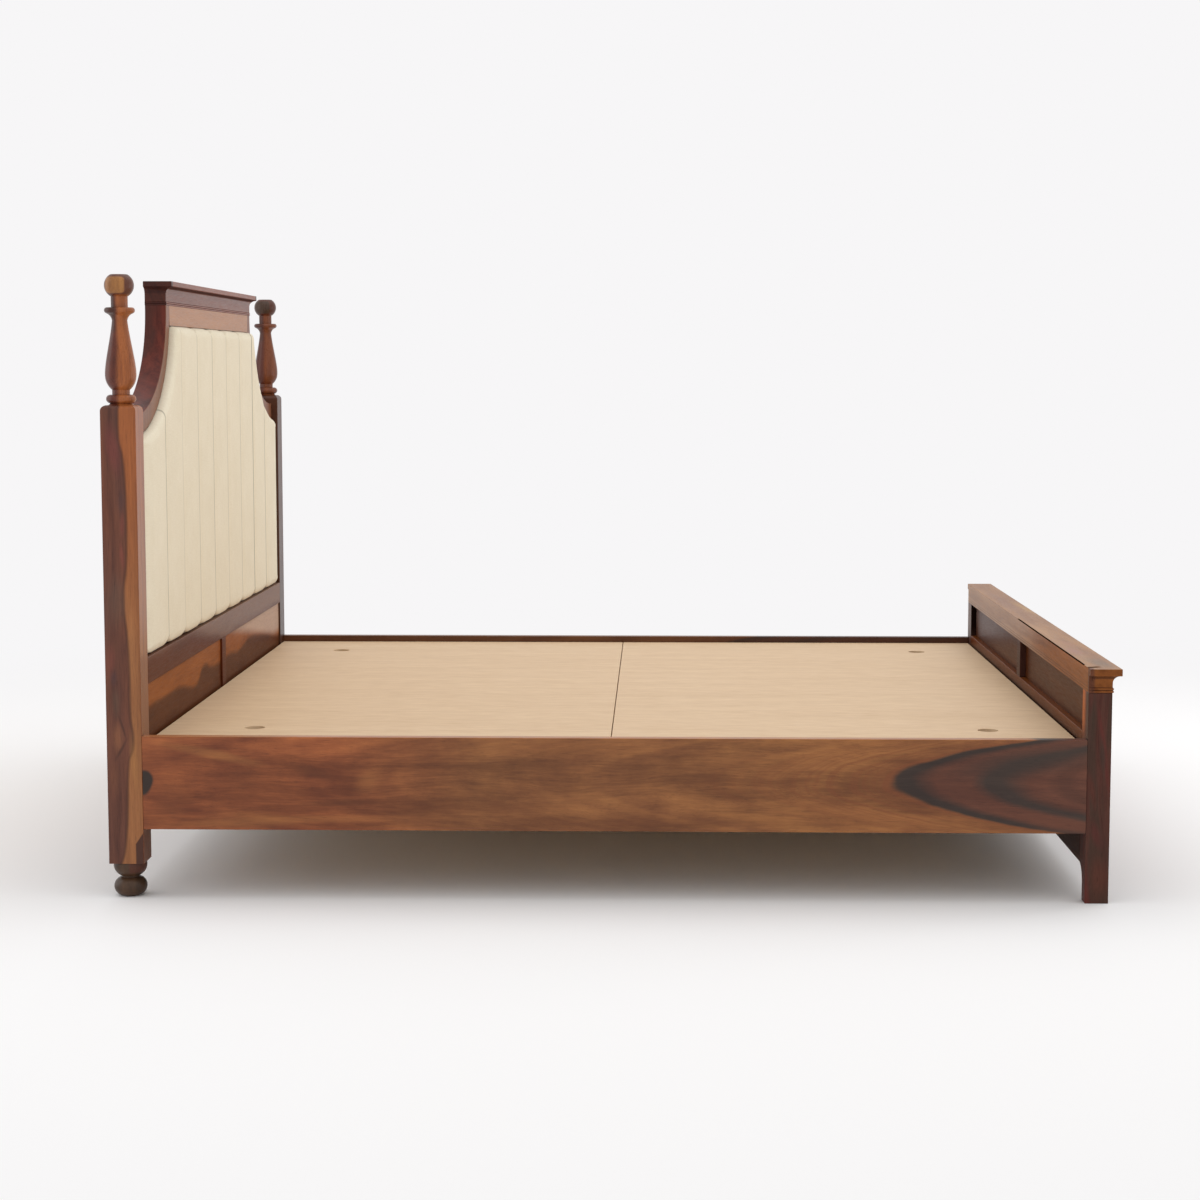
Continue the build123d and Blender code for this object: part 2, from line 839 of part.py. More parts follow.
def centre_leg(x_place):
    half = centre_leg_size / 2
    leg = board(grown((x_place, x_place), half), (-half, half), (glide_height, beam_bottom))
    leg = leg + cylinder_between((x_place, 0, beam_bottom), (0, 0, 1), leg_spigot_radius, leg_spigot_length)
    return leg - cylinder_between(
        (x_place, 0, glide_height), (0, 0, 1),
        glide_pin_radius + joint_fit, glide_pin_length + spigot_end_gap)


def leg_glides():
    """Nail-on glides under the centre legs."""
    glides = []
    for x_place in centre_leg_places():
        disc = fillet(extrude(Circle(glide_radius), glide_height).edges(), moulding_ease)
        disc = Pos(x_place, 0, 0) * disc
        glides.append(disc + cylinder_between(
            (x_place, 0, glide_height), (0, 0, 1), glide_pin_radius, glide_pin_length))
    return Compound(children=glides)


# Brackets and fasteners

def corner_bracket(end, side):
    """Angle bracket in the inner corner of a post and a side rail."""
    face = x_head if end < 0 else x_foot
    z_span = (bracket_bottom, bracket_bottom + bracket_height)
    out = -end
    post_leg = room(
        ordered(face, face + out * bracket_metal),
        on_side(side, y_rail - bracket_post_leg, y_rail),
        z_span,
    )
    rail_leg = room(
        ordered(face, face + out * bracket_rail_leg),
        on_side(side, y_rail - bracket_metal, y_rail),
        z_span,
    )
    bracket = fillet((post_leg + rail_leg).edges().filter_by(Axis.Z), metal_ease)
    return bracket - bracket_fastener_holes(side)


def ordered(first, second):
    return (min(first, second), max(first, second))


def hole_heights():
    middle = bracket_bottom + bracket_height / 2
    return (middle - bracket_hole_spacing / 2, middle + bracket_hole_spacing / 2)


def bolt_places(side):
    """Start under the head and direction of each bolt into the posts, on one side."""
    places = []
    for face, out in ((x_head, 1), (x_foot, -1)):
        for height in hole_heights():
            start = (face + out * bracket_metal, side * (y_rail - bracket_post_hole), height)
            places.append((start, (-out, 0, 0)))
    return places


def rail_screw_places(side):
    places = []
    for face, out in ((x_head, 1), (x_foot, -1)):
        for height in hole_heights():
            start = (face + out * bracket_rail_hole, side * (y_rail - bracket_metal), height)
            places.append((start, (0, side, 0)))
    return places


def bracket_fastener_holes(side):
    """Every hole that the bolts and screws of the brackets need on one side."""
    cuts = []
    for start, direction in bolt_places(side):
        cuts.append(cylinder_between(
            start, direction, bolt_radius + joint_fit, bolt_length + spigot_end_gap))
    for start, direction in rail_screw_places(side):
        cuts.append(cylinder_between(
            start, direction, screw_radius + joint_fit, bracket_screw_length - screw_sink))
    return Part(children=cuts)


def hanger_screw_places(end):
    """Screws of a beam hanger into the bottom rail behind it."""
    face = x_head + hanger_metal if end < 0 else x_foot - hanger_metal
    height = bearer_bottom - hanger_drop - bearer_screw_inset
    spread = beam_width / 2 - screw_head_radius
    return [((face, y_place, height), (end, 0, 0), hanger_screw_length) for y_place in (-spread, spread)]


def ledger_screw_places(side):
    """Screws through a ledger into its side rail, evenly along it."""
    low = x_head + ledger_screw_margin
    step = (side_rail_length - 2 * ledger_screw_margin) / (ledger_screw_count - 1)
    height = (ledger_z[0] + ledger_z[1]) / 2
    start_y = side * ledger_y[0]
    return [
        ((low + index * step, start_y, height), (0, side, 0), wood_screw_length)
        for index in range(ledger_screw_count)
    ]


def bearer_screw_places():
    """Screws down through the ends of the bearers into the ledgers."""
    places = []
    for x_place in bearer_places():
        for side in SIDES.values():
            start = (x_place, side * (ledger_y[0] + bearer_screw_inset), deck_bottom - screw_sink)
            places.append((start, (0, 0, -1), wood_screw_length))
    return places


def pad_screw_places():
    """Screws through the battens into the pad's board."""
    places = []
    first = -pad_screw_spacing * (pad_screw_count - 1) / 2
    for z_low in batten_bottoms:
        for index in range(pad_screw_count):
            start = (pad_board_back - batten_thickness, first + index * pad_screw_spacing,
                     z_low + batten_height / 2)
            places.append((start, (1, 0, 0), pad_screw_length))
    return places


def countersunk_screw(start, direction, length, fit=0):
    """Screw with a countersunk head flush with the surface that it starts from."""
    place = Plane(origin=start, z_dir=direction)
    head = place * loft([
        Circle(screw_head_radius + fit),
        Pos(0, 0, screw_head_height) * Circle(screw_radius + fit),
    ])
    shank = place * extrude(Circle(screw_radius + fit), length)
    return head + shank


def placed_screws(places, fit=0):
    return Part(children=[countersunk_screw(start, way, length, fit) for start, way, length in places])


def bracket_bolts():
    """Hexagon bolts that hold the brackets to the posts."""
    bolts = []
    for side in SIDES.values():
        for start, direction in bolt_places(side):
            shank = cylinder_between(start, direction, bolt_radius, bolt_length)
            head_way = [-value for value in direction]
            head = Plane(origin=start, z_dir=head_way) * extrude(
                RegularPolygon(bolt_head_radius, 6), bolt_head_height)
            bolts.append(shank + head)
    return Compound(children=bolts)


def bracket_screws():
    """Round-head screws of the brackets in the side rails."""
    screws = []
    for side in SIDES.values():
        for start, direction in rail_screw_places(side):
            shank = cylinder_between(start, direction, screw_radius, bracket_screw_length - spigot_end_gap)
            head_way = [-value for value in direction]
            head = cylinder_between(start, head_way, screw_head_radius, screw_head_height)
            screws.append(shank + head)
    return Compound(children=screws)


def hanger_screws():
    """Countersunk screws of the beam hangers."""
    places = hanger_screw_places(-1) + hanger_screw_places(1)
    return Compound(children=[countersunk_screw(*place) for place in places])


def wood_screws():
    """Countersunk screws of the ledgers and of the bearers."""
    places = bearer_screw_places()
    for side in SIDES.values():
        places += ledger_screw_places(side)
    return Compound(children=[countersunk_screw(*place) for place in places])


def pad_screws():
    return Compound(children=[countersunk_screw(*place) for place in pad_screw_places()])


def build():
    """All pieces of the bed, by node name."""
    pieces = {}
    post_x = (x_back + x_head) / 2
    for name, side in SIDES.items():
        post_y = side * (y_head + half_width) / 2
        pieces["head_post_" + name] = head_post(side)
        pieces["finial_" + name] = Pos(post_x, post_y, head_post_top) * finial()
        pieces["ball_foot_" + name] = Pos(post_x, post_y, 0) * ball_foot()
        pieces["headboard_wing_" + name] = wing(side)
        pieces["headboard_panel_" + name] = panel(headboard_panel_x, y_head, headboard_panel_z(), side)
        pieces["foot_post_" + name] = foot_post(side)
        pieces["footboard_panel_" + name] = panel(footboard_panel_x, y_foot, footboard_panel_z(), side)
        pieces["side_rail_" + name] = side_rail(side)
        pieces["ledger_" + name] = ledger(side)
        pieces["rail_bracket_head_" + name] = corner_bracket(-1, side)
        pieces["rail_bracket_foot_" + name] = corner_bracket(1, side)
    pieces["headboard_frieze_rail"] = frieze_rail()
    pieces["crown_beads"] = crown_beads()
    pieces["crown_cove"] = crown_cove()
    pieces["crown_cap"] = crown_cap()
    pieces["upholstered_pad"] = upholstered_pad()
    pieces["pad_board"] = pad_board()
    pieces["pad_batten_lower"] = back_batten(batten_bottoms[0])
    pieces["pad_batten_upper"] = back_batten(batten_bottoms[1])
    pieces["headboard_middle_rail"] = middle_rail()
    pieces["headboard_stile"] = headboard_stile()
    pieces["headboard_bottom_rail"] = headboard_bottom_rail()
    pieces["footboard_top_rail"] = footboard_top_rail()
    pieces["footboard_beads"] = footboard_beads()
    pieces["footboard_cove"] = footboard_cove()
    pieces["footboard_cap"] = footboard_cap()
    pieces["footboard_stile"] = footboard_stile()
    pieces["footboard_bottom_rail"] = footboard_bottom_rail()
    for number, x_place in enumerate(bearer_places(), 1):
        pieces["cross_bearer_" + str(number)] = bearer(x_place)
    pieces["centre_beam"] = centre_beam()
    pieces["beam_hanger_head"] = beam_hanger(-1)
    pieces["beam_hanger_foot"] = beam_hanger(1)
    for number, x_place in enumerate(centre_leg_places(), 1):
        pieces["centre_leg_" + str(number)] = centre_leg(x_place)
    pieces["leg_glides"] = leg_glides()
    seam = deck_seam_gap / 2
    pieces["deck_panel_head"] = deck_panel(
        x_head + deck_end_gap, seam_x - seam, x_head + finger_hole_from_head)
    pieces["deck_panel_foot"] = deck_panel(
        seam_x + seam, x_foot - deck_end_gap, x_foot - finger_hole_from_foot)
    pieces["bracket_bolts"] = bracket_bolts()
    pieces["bracket_screws"] = bracket_screws()
    pieces["hanger_screws"] = hanger_screws()
    pieces["wood_screws"] = wood_screws()
    pieces["pad_screws"] = pad_screws()
    return pieces


os.makedirs("parts", exist_ok=True)
for node, piece in build().items():
    export_step(piece, "parts/" + node + ".step")
    print(node, round(piece.volume / 1000), "cm3")
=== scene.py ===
import math

import bpy
import numpy as np
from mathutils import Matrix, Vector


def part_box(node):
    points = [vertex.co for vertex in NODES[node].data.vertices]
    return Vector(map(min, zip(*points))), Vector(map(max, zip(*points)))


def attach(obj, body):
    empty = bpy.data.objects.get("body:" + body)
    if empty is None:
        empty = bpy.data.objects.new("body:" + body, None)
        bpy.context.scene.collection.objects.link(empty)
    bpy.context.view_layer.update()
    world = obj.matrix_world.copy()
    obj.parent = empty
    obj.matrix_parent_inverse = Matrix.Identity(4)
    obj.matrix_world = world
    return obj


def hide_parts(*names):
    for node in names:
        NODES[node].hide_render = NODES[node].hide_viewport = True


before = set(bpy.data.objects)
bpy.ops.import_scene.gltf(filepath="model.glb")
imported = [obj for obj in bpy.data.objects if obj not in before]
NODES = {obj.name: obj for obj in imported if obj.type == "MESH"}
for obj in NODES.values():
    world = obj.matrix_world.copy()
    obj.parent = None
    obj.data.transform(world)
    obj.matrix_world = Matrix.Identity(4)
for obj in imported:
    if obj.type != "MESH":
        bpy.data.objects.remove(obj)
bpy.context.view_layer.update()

bl_info = {
    "name": "Wooden bed",
    "version": (1, 0, 0),
    "blender": (4, 5, 0),
    "location": "3D View > Sidebar > Bed",
    "description": "Dresses the frame of a wooden bed: timber, channelled pad, plywood deck and studio",
    "category": "Object",
}

POST_LOW, POST_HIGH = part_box("head_post_left")
PAD_LOW, PAD_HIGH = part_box("upholstered_pad")
RAIL_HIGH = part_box("side_rail_left")[1]
DECK_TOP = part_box("deck_panel_foot")[1][2]
WING_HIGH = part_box("headboard_wing_left")[1]
FINIAL_LOW, FINIAL_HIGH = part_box("finial_left")


# Colours and settings

def linear(*levels):
    """Linear colour from display levels of 0 to 255, by the inverse of the sRGB curve."""
    part = np.array(levels) / 255
    curve = np.where(part <= 0.04045, part / 12.92, ((part + 0.055) / 1.055) ** 2.4)
    return tuple(curve.tolist())


def colour(name, description, *levels):
    """Colour property with its default given in display levels."""
    return bpy.props.FloatVectorProperty(
        name=name, description=description, subtype="COLOR", size=3, min=0, max=1, default=linear(*levels))


def length(name, description, default, low=0.0, high=10.0):
    """Length property in metres."""
    return bpy.props.FloatProperty(
        name=name, description=description, default=default, min=low, max=high, unit="LENGTH", precision=4)


def share(name, description, default, high=1.0):
    """Plain number from zero upwards."""
    return bpy.props.FloatProperty(
        name=name, description=description, default=default, min=0, max=high, subtype="FACTOR")


def power(name, description, default):
    """Power of a lamp in watts."""
    return bpy.props.FloatProperty(name=name, description=description, default=default, min=0, unit="POWER")


class BedTimberSettings(bpy.types.PropertyGroup):
    """Colours of the visible timber."""

    rail_red: colour("Rail, head end", "Side rails near the headboard", 144, 79, 45)
    rail_brown: colour("Rail, middle", "Side rails at their middle", 138, 87, 50)
    rail_gold: colour("Rail, foot end", "Side rails near the heart", 150, 96, 53)
    heart_light: colour("Heartwood, light", "Light bands of the heartwood", 102, 59, 42)
    heart_dark: colour("Heartwood, dark", "Dark bands of the heartwood", 59, 45, 38)
    post_light: colour("Post, light", "Head posts' front half", 148, 95, 56)
    post_dark: colour("Post, dark", "Head posts' back half", 103, 59, 42)
    turned_light: colour("Turned wood, light", "Light side of the finials", 148, 84, 44)
    turned_dark: colour("Turned wood, dark", "Dark side of the finials", 92, 44, 31)
    turned_tan: colour("Turned wood, tan", "Light face on the finials' knobs", 154, 104, 58)
    ball_foot: colour("Ball feet", "Ball feet", 76, 54, 38)
    wing: colour("Wings", "Wings", 98, 42, 31)
    wing_front: colour("Wings, front", "Front face of the wings", 128, 82, 58)
    frieze: colour("Frieze", "Frieze rail", 168, 114, 74)
    crown: colour("Crown", "Crown moulding", 118, 66, 48)
    middle_rail: colour("Middle rail", "Headboard's middle rail", 88, 42, 24)
    panel_light: colour("Panels, light", "Light wood of the lower headboard panels", 150, 86, 40)
    # Painted reflection: a pale tone on the far top of the right headboard panel
    panel_painted_reflection: colour("Panels, pale", "Sapwood at the top of the right headboard panel", 188, 156, 134)
    # Painted reflection: the pale tone of the middle rail's right half
    middle_rail_painted_reflection: colour("Middle rail, pale", "Right half of the headboard's middle rail", 129, 99, 83)
    panel_dark: colour("Panels, dark", "Dark figure of the lower headboard panels", 94, 52, 28)
    foot_post: colour("Foot posts", "Foot posts", 84, 53, 46)
    foot_post_edge: colour("Foot post sapwood", "Inner face of the foot posts", 168, 90, 46)
    footboard_panel: colour("Footboard panels", "Footboard panels", 82, 44, 22)
    # Painted reflection: the grey at the far top of the footboard panels
    footboard_painted_reflection: colour("Footboard panels, grey", "Far top of the footboard panels", 112, 96, 94)
    footboard_rail: colour("Footboard rail", "Footboard's lower rail", 118, 68, 36)
    footboard_inner: colour("Footboard rail, inside", "Inner face of the lower rail", 102, 54, 22)
    # The cap's top: its wood tone with a painted reflection, lighter and greyer than its sides
    cap_top: colour("Footboard cap, top", "Cap's top", 164, 124, 94)
    cap_near: colour("Footboard cap, one end", "Cap at its left end", 132, 79, 42)
    # The cap's right end: its wood tone greyed by a painted reflection
    cap_far_painted_reflection: colour("Footboard cap, other end", "Cap at its right end", 168, 136, 114)
    gloss: share("Roughness", "Roughness of the lacquer", 0.34)
    reflectivity: share("Reflectivity", "Reflection of the lacquer on outer faces", 0.3)
    panel_reflectivity: share("Panel reflectivity", "Reflection of the thin lacquer on the panels", 0.03)


class BedDeckSettings(bpy.types.PropertyGroup):
    """Colours of the plywood deck and of the hidden timber and metal."""

    ply_light: colour("Plywood, light", "Light grain of the deck", 222, 194, 160)
    ply_dark: colour("Plywood, dark", "Dark grain of the deck", 204, 172, 136)
    plain_light: colour("Plain timber", "Hidden timbers", 206, 172, 126)
    steel: colour("Steel", "Zinc-plated brackets and screws", 176, 178, 180)
    glide: colour("Glides", "Plastic of the glides", 38, 36, 36)


class BedPadSettings(bpy.types.PropertyGroup):
    """Form and fabric of the headboard pad."""

    seam_pitch: length("Seam pitch", "Distance between the seams of the pad", 0.187, 0.05, 0.5)
    channel_depth: length("Channel depth", "Depth of a seam below the crests", 0.0024, 0.0, 0.03)
    edge_radius: length("Edge radius", "Radius of the pad's rolled edge", 0.016, 0.005, 0.03)
    corner_radius: length("Corner radius", "Radius of the pad's corners", 0.018, 0.0, 0.1)
    end_pinch: length("End pinch", "How far each seam draws in the pad's edge", 0.006, 0.0, 0.02)
    stuffing: length("Stuffing", "Height of the crests in front of the timber", 0.0015, 0.0, 0.01)
    side_gap: length("Side gap", "Gap between the cover and the side of its space", 0.001, 0.0, 0.02)
    side_roll: length("Side roll", "Width of the cover's roll beside the posts", 0.055, 0.01, 0.1)
    seam_width: length("Seam width", "Width of the soft shade along a seam", 0.008, 0.001, 0.02)
    fabric: colour("Fabric", "Colour of the woven cover", 238, 229, 207)
    thread: colour("Weave shade", "Colour between the threads of the cover", 221, 209, 182)
    air_pressure: bpy.props.FloatProperty(
        name="Filling pressure", description="Pressure of the filling in the cloth simulation",
        default=4.0, min=0.0, max=20.0)
    swell_limit: length("Swell limit", "Furthest that the simulation may move the cover", 0.0012, 0.0, 0.03)


class BedStageSettings(bpy.types.PropertyGroup):
    """Camera, floor and light."""

    lens: bpy.props.FloatProperty(
        name="Lens", description="Focal length on a sensor of 36 mm", default=70.0, min=10.0, unit="CAMERA")
    camera_place: bpy.props.FloatVectorProperty(
        name="Camera", description="Place of the camera", default=(0.098, -5.8323, 1.129), subtype="XYZ",
        unit="LENGTH")
    camera_turn: bpy.props.FloatProperty(
        name="Turn", description="Turn of the camera about the upright axis", default=math.radians(1.41),
        subtype="ANGLE")
    camera_tip: bpy.props.FloatProperty(
        name="Tip", description="Tip of the camera below the horizon", default=math.radians(5.68),
        subtype="ANGLE")
    backdrop: colour("Backdrop", "Colour of the background", 247, 246, 247)
    floor: colour("Floor", "Colour of the floor", 248, 247, 247)
    sky_strength: share("Sky", "Strength of the even light from all round", 0.88, 3.0)
    top_power: power("Top lamp", "Power of the soft lamp above the bed", 42.0)
    side_power: power("Side lamp", "Power of the soft lamp behind the head end", 28.0)
    foot_power: power("Foot lamp", "Power of the low lamp beyond the foot end", 14.0)


# Shader building blocks

NOISE_SPAN = (0.28, 0.72)


def opaque(rgb):
    """Colour for a socket: a value as it is, or red, green and blue with full opacity."""
    return rgb if isinstance(rgb, Value) else (rgb[0], rgb[1], rgb[2], 1.0)


def shade(rgb, factor):
    """Colour made darker or lighter by a factor."""
    return tuple(min(1.0, level * factor) for level in rgb)


def plug(tree, socket, value):
    """Links a value to a socket, or sets the socket's own number."""
    if isinstance(value, Value):
        tree.links.new(value.socket, socket)
    else:
        socket.default_value = value


def add_node(tree, kind, inputs=None, **settings):
    """New node with settings, and with inputs by name or number."""
    made = tree.nodes.new(kind)
    for key, setting in settings.items():
        setattr(made, key, setting)
    for key, value in (inputs or {}).items():
        plug(tree, made.inputs[key], value)
    return made


def value_of(tree, kind, inputs=None, output=0, **settings):
    """Value at an output of a new node."""
    return Value(tree, add_node(tree, kind, inputs, **settings).outputs[output])


class Value:
    """Output of a shader node: a number, vector or colour. Operators between numbers add Math nodes."""

    def __init__(self, tree, socket):
        self.tree, self.socket = tree, socket

    def node(self, kind, inputs, output=0, **settings):
        """Value at an output of a new node in the same tree."""
        return value_of(self.tree, kind, inputs, output, **settings)

    def math(self, operation, *others, clamp=False):
        """Math node of this number and others."""
        numbers = dict(enumerate((self, *others)))
        return self.node("ShaderNodeMath", numbers, operation=operation, use_clamp=clamp)

    def vector(self, operation, *others, output=0):
        """Vector Math node of this vector and others."""
        vectors = dict(enumerate((self, *others)))
        return self.node("ShaderNodeVectorMath", vectors, output, operation=operation)

    def __add__(self, other):
        return self.math("ADD", other)

    def __sub__(self, other):
        return self.math("SUBTRACT", other)

    def __rsub__(self, other):
        return self.node("ShaderNodeMath", {0: other, 1: self}, operation="SUBTRACT")

    def __mul__(self, other):
        return self.math("MULTIPLY", other)

    def __truediv__(self, other):
        return self.math("DIVIDE", other)

    def __pow__(self, other):
        return self.math("POWER", other)

    def __abs__(self):
        return self.math("ABSOLUTE")

    def most(self, other):
        """Greater of two numbers."""
        return self.math("MAXIMUM", other)

    def span(self, low, high, to_low=0.0, to_high=1.0, kind="LINEAR"):
        """Number moved from one span to another, and held inside it."""
        numbers = {0: self, 1: low, 2: high, 3: to_low, 4: to_high}
        return self.node("ShaderNodeMapRange", numbers, interpolation_type=kind)

    def ease(self, low, high, to_low=0.0, to_high=1.0):
        """Number moved like that, but with a smooth start and end."""
        return self.span(low, high, to_low, to_high, "SMOOTHSTEP")

    def curve(self, low, high, points):
        """Height of a smooth curve through points, read at this number's share of low to high."""
        made = add_node(self.tree, "ShaderNodeFloatCurve", {"Value": self.span(low, high)})
        curve = made.mapping.curves[0]
        curve.points[0].location, curve.points[1].location = points[0], points[-1]
        for place in points[1:-1]:
            curve.points.new(*place)
        made.mapping.update()
        return Value(self.tree, made.outputs[0])

    def ramp(self, *stops):
        """Colour ramp from places and colours."""
        made = add_node(self.tree, "ShaderNodeValToRGB", {0: self})
        elements = made.color_ramp.elements
        elements[0].position, elements[0].color = stops[0][0], opaque(stops[0][1])
        elements[1].position, elements[1].color = stops[-1][0], opaque(stops[-1][1])
        for place, rgb in stops[1:-1]:
            elements.new(place).color = opaque(rgb)
        return Value(self.tree, made.outputs[0])

    def blend(self, first, second):
        """Mix of two colours; this number is the share of the second."""
        colours = {0: self, 6: opaque(first), 7: opaque(second)}
        return self.node("ShaderNodeMix", colours, 2, data_type="RGBA", blend_type="MIX")

    def tinted(self, other):
        """Colour multiplied by another."""
        colours = {0: 1.0, 6: self, 7: other}
        return self.node("ShaderNodeMix", colours, 2, data_type="RGBA", blend_type="MULTIPLY")

    def parts(self):
        """The three numbers of a vector."""
        outputs = add_node(self.tree, "ShaderNodeSeparateXYZ", {0: self}).outputs
        return [Value(self.tree, output) for output in outputs]

    def stretched(self, scale, shift=(0.0, 0.0, 0.0)):
        """Vector times a scale for each axis, plus a shift."""
        return self.node("ShaderNodeMapping", {"Vector": self, "Scale": scale, "Location": shift})

    def noise(self, detail=2.0, roughness=0.5):
        """Grey noise of a vector, widened to fill the span of zero to one."""
        grey = self.node(
            "ShaderNodeTexNoise", {"Vector": self, "Scale": 1.0, "Detail": detail, "Roughness": roughness})
        return grey.span(*NOISE_SPAN)

    def line_noise(self, detail=2.0, roughness=0.5):
        """Grey noise along a number, widened in the same way."""
        grey = self.node(
            "ShaderNodeTexNoise", {"W": self, "Scale": 1.0, "Detail": detail, "Roughness": roughness},
            noise_dimensions="1D")
        return grey.span(*NOISE_SPAN)


def empty_tree(holder):
    """Node tree of a material or world, without its nodes."""
    holder.use_nodes = True
    holder.node_tree.nodes.clear()
    return holder.node_tree


class Material:
    """Material with a Principled surface."""

    def __init__(self, name):
        self.material = bpy.data.materials.new(name)
        self.tree = empty_tree(self.material)
        self.surface = add_node(self.tree, "ShaderNodeBsdfPrincipled")
        shaded = Value(self.tree, self.surface.outputs[0])
        add_node(self.tree, "ShaderNodeOutputMaterial", {"Surface": shaded})

    def place(self):
        """Point in Object coordinates."""
        return value_of(self.tree, "ShaderNodeTexCoord", output="Object")

    def done(self, inputs, height=None, strength=1.0, distance=0.0):
        """The material, with its surface's inputs by name and, where it has a height, its relief."""
        if height is not None:
            bump = {"Height": height, "Strength": strength, "Distance": distance}
            inputs["Normal"] = height.node("ShaderNodeBump", bump)
        for name, value in inputs.items():
            plug(self.tree, self.surface.inputs[name], value)
        return self.material


class Timber(Material):
    """Material of one timber: grain coordinates, growth figure and finish.

    The point is turned so that the grain is its first axis. The bent point is moved across the grain by slow
    noise, so rings, streaks and fibres all follow the same waves.
    """

    ORDERS = {"x": (0, 1, 2), "y": (1, 0, 2), "z": (2, 0, 1)}

    def __init__(self, name, along, shift=(0.0, 0.0, 0.0), wave=0.06, wave_scale=(1.0, 5.0, 5.0)):
        super().__init__(name)
        numbers = self.place().parts()
        self.x, self.y, self.z = numbers
        turned = self.x.node(
            "ShaderNodeCombineXYZ", {key: numbers[axis] for key, axis in enumerate(self.ORDERS[along])})
        point = turned.stretched((1.0, 1.0, 1.0), shift)
        slow = point.node(
            "ShaderNodeTexNoise", {"Vector": point.stretched(wave_scale), "Scale": 1.0, "Detail": 2.0}, 1)
        centred = slow.vector("SUBTRACT", (0.5, 0.5, 0.5))
        self.sway = centred.parts()
        self.bent = point.vector("ADD", centred.vector("MULTIPLY", (0.0, wave, wave)))
        self.growth = None

    def layer(self, along, across, detail=2.0, roughness=0.55):
        """Noise stretched along the bent grain."""
        return self.bent.stretched((along, across, across)).noise(detail, roughness)

    def grow(self, pith, rings, weights=(0.3, 0.25, 0.25, 0.2)):
        """Growth figure: rings about a pith line, long clouds, streaks and fibres, each with its weight.

        The rings are noise along the distance from the pith. Flat faces show them as stripes and arches.
        """
        _, across, up = self.bent.parts()
        radius = ((across - pith[0]) ** 2.0 + (up - pith[1]) ** 2.0).math("SQRT")
        total = (radius * rings).line_noise(3.0, 0.6) * weights[0]
        for scales, weight in zip(((1.6, 9.0), (5.0, 60.0), (14.0, 230.0)), weights[1:]):
            total = total + self.layer(*scales, 3.0) * weight
        self.growth = total

    def tones(self, rgb, contrast=1.0):
        """Colours of one timber by its growth figure: darker, redder grain to lighter, yellower grain."""
        dark = tuple(level * (1 - change * contrast) for level, change in zip(rgb, (0.5, 0.56, 0.5)))
        light = tuple(level * (1 + change * contrast) for level, change in zip(rgb, (0.4, 0.46, 0.42)))
        return self.growth.ramp((0.22, dark), (0.5, rgb), (0.8, light))

    def patch(self, place, half, tilt, strength, upward=None):
        """Mask of a soft, tilted ellipse about a place, on the x-z plane or, if given, the x-upward one."""
        along = self.x + self.sway[0] * 0.05 - place[0]
        up = (upward or self.z) + self.sway[2] * 0.03 - place[1]
        flat = along.node("ShaderNodeCombineXYZ", {0: along, 1: up})
        turned = flat.node(
            "ShaderNodeVectorRotate", {"Vector": flat, "Angle": -tilt}, rotation_type="Z_AXIS")
        reach = turned.stretched((1 / half[0], 1 / half[1], 0.0)).vector("LENGTH", output="Value")
        return reach.ease(0.2, 1.3, strength, 0.0)

    def patches(self, base, rows, rgb=None, upward=None, within=None):
        """Soft ellipses over a base, in one colour or in the display levels at the end of each row."""
        for x, up, half_x, half_up, tilt, strength, *levels in rows:
            mask = self.patch((x, up), (half_x, half_up), tilt, strength, upward)
            mask = mask * within if within else mask
            base = mask.blend(base, rgb or linear(*levels))
        return base

    def right(self):
        """Mask of the bed's right half."""
        return self.y.span(-0.01, 0.01)

    def finish(self, base, gloss, reflectivity, dull=0.0):
        """Fine fibres and pores over a base colour, and the lacquer's gloss and slight relief.

        Dull, a number or a mask, is added to the roughness.
        """
        fibres = self.layer(22.0, 520.0, 2.0, 0.6)
        pores = self.layer(34.0, 1300.0, 1.0, 0.5).span(0.74, 0.92)
        tone = fibres.span(0.0, 1.0, 0.92, 1.06) - pores * 0.25
        rough = fibres.span(0.0, 1.0, gloss - 0.04, gloss + 0.08).math("ADD", dull, clamp=True)
        return self.done({
            "Base Color": base.vector("MULTIPLY", tone), "Roughness": rough,
            "Specular IOR Level": reflectivity}, fibres * 0.35 - pores, 0.1, 0.0005)


def plain_wood(name, rgb, along, pith, rings, shift, gloss, reflectivity, contrast):
    """Timber of one main colour."""
    wood = Timber(name, along, shift)
    wood.grow(pith, rings)
    return wood.finish(wood.tones(rgb, contrast), gloss, reflectivity)


# Numbers of the pad

PAD_NAME = "headboard_pad_cover"
THREAD_PITCH = 0.0011
# How dark the shade along each seam is, from the left post to the right one
SEAM_DEPTHS = (0.54, 0.22, 0.42, 0.56, 0.34, 0.42, 1.0, 0.64)
SEAM_COUNT = len(SEAM_DEPTHS)
CHANNEL_STEPS = 32
COLUMN_ROWS = 110
# The arcs' centre below the wings' top, and its height above the arcs' lowest point
WING_ARC_DROP, WING_ARC_RISE = 0.008, 0.279
# Widths of the pinches at the seams' ends, and their strengths as shares of the end pinch
SEAM_BELL, TOP_BELL = 0.022, 0.016
TOP_PINCH, ARC_PINCH = 1.3, 0.3
# The search for the outline starts at a height above the pad's bottom where every column is inside
INNER_HEIGHT = 0.1
HALVINGS = 30
# The simulation holds the cover this far from its outline
FIXED_EDGE = 0.004
SIMULATED_FRAMES = 20
CLOTH_QUALITY = 5
CLOTH_BENDING = 0.3


# Timbers

# Tip of the rails' dark heart along x, height of its axis, and its bends below and above that
HEART_TIP, HEART_AXIS, HEART_BENDS = 0.61, 0.259, (28.5, 34.0)
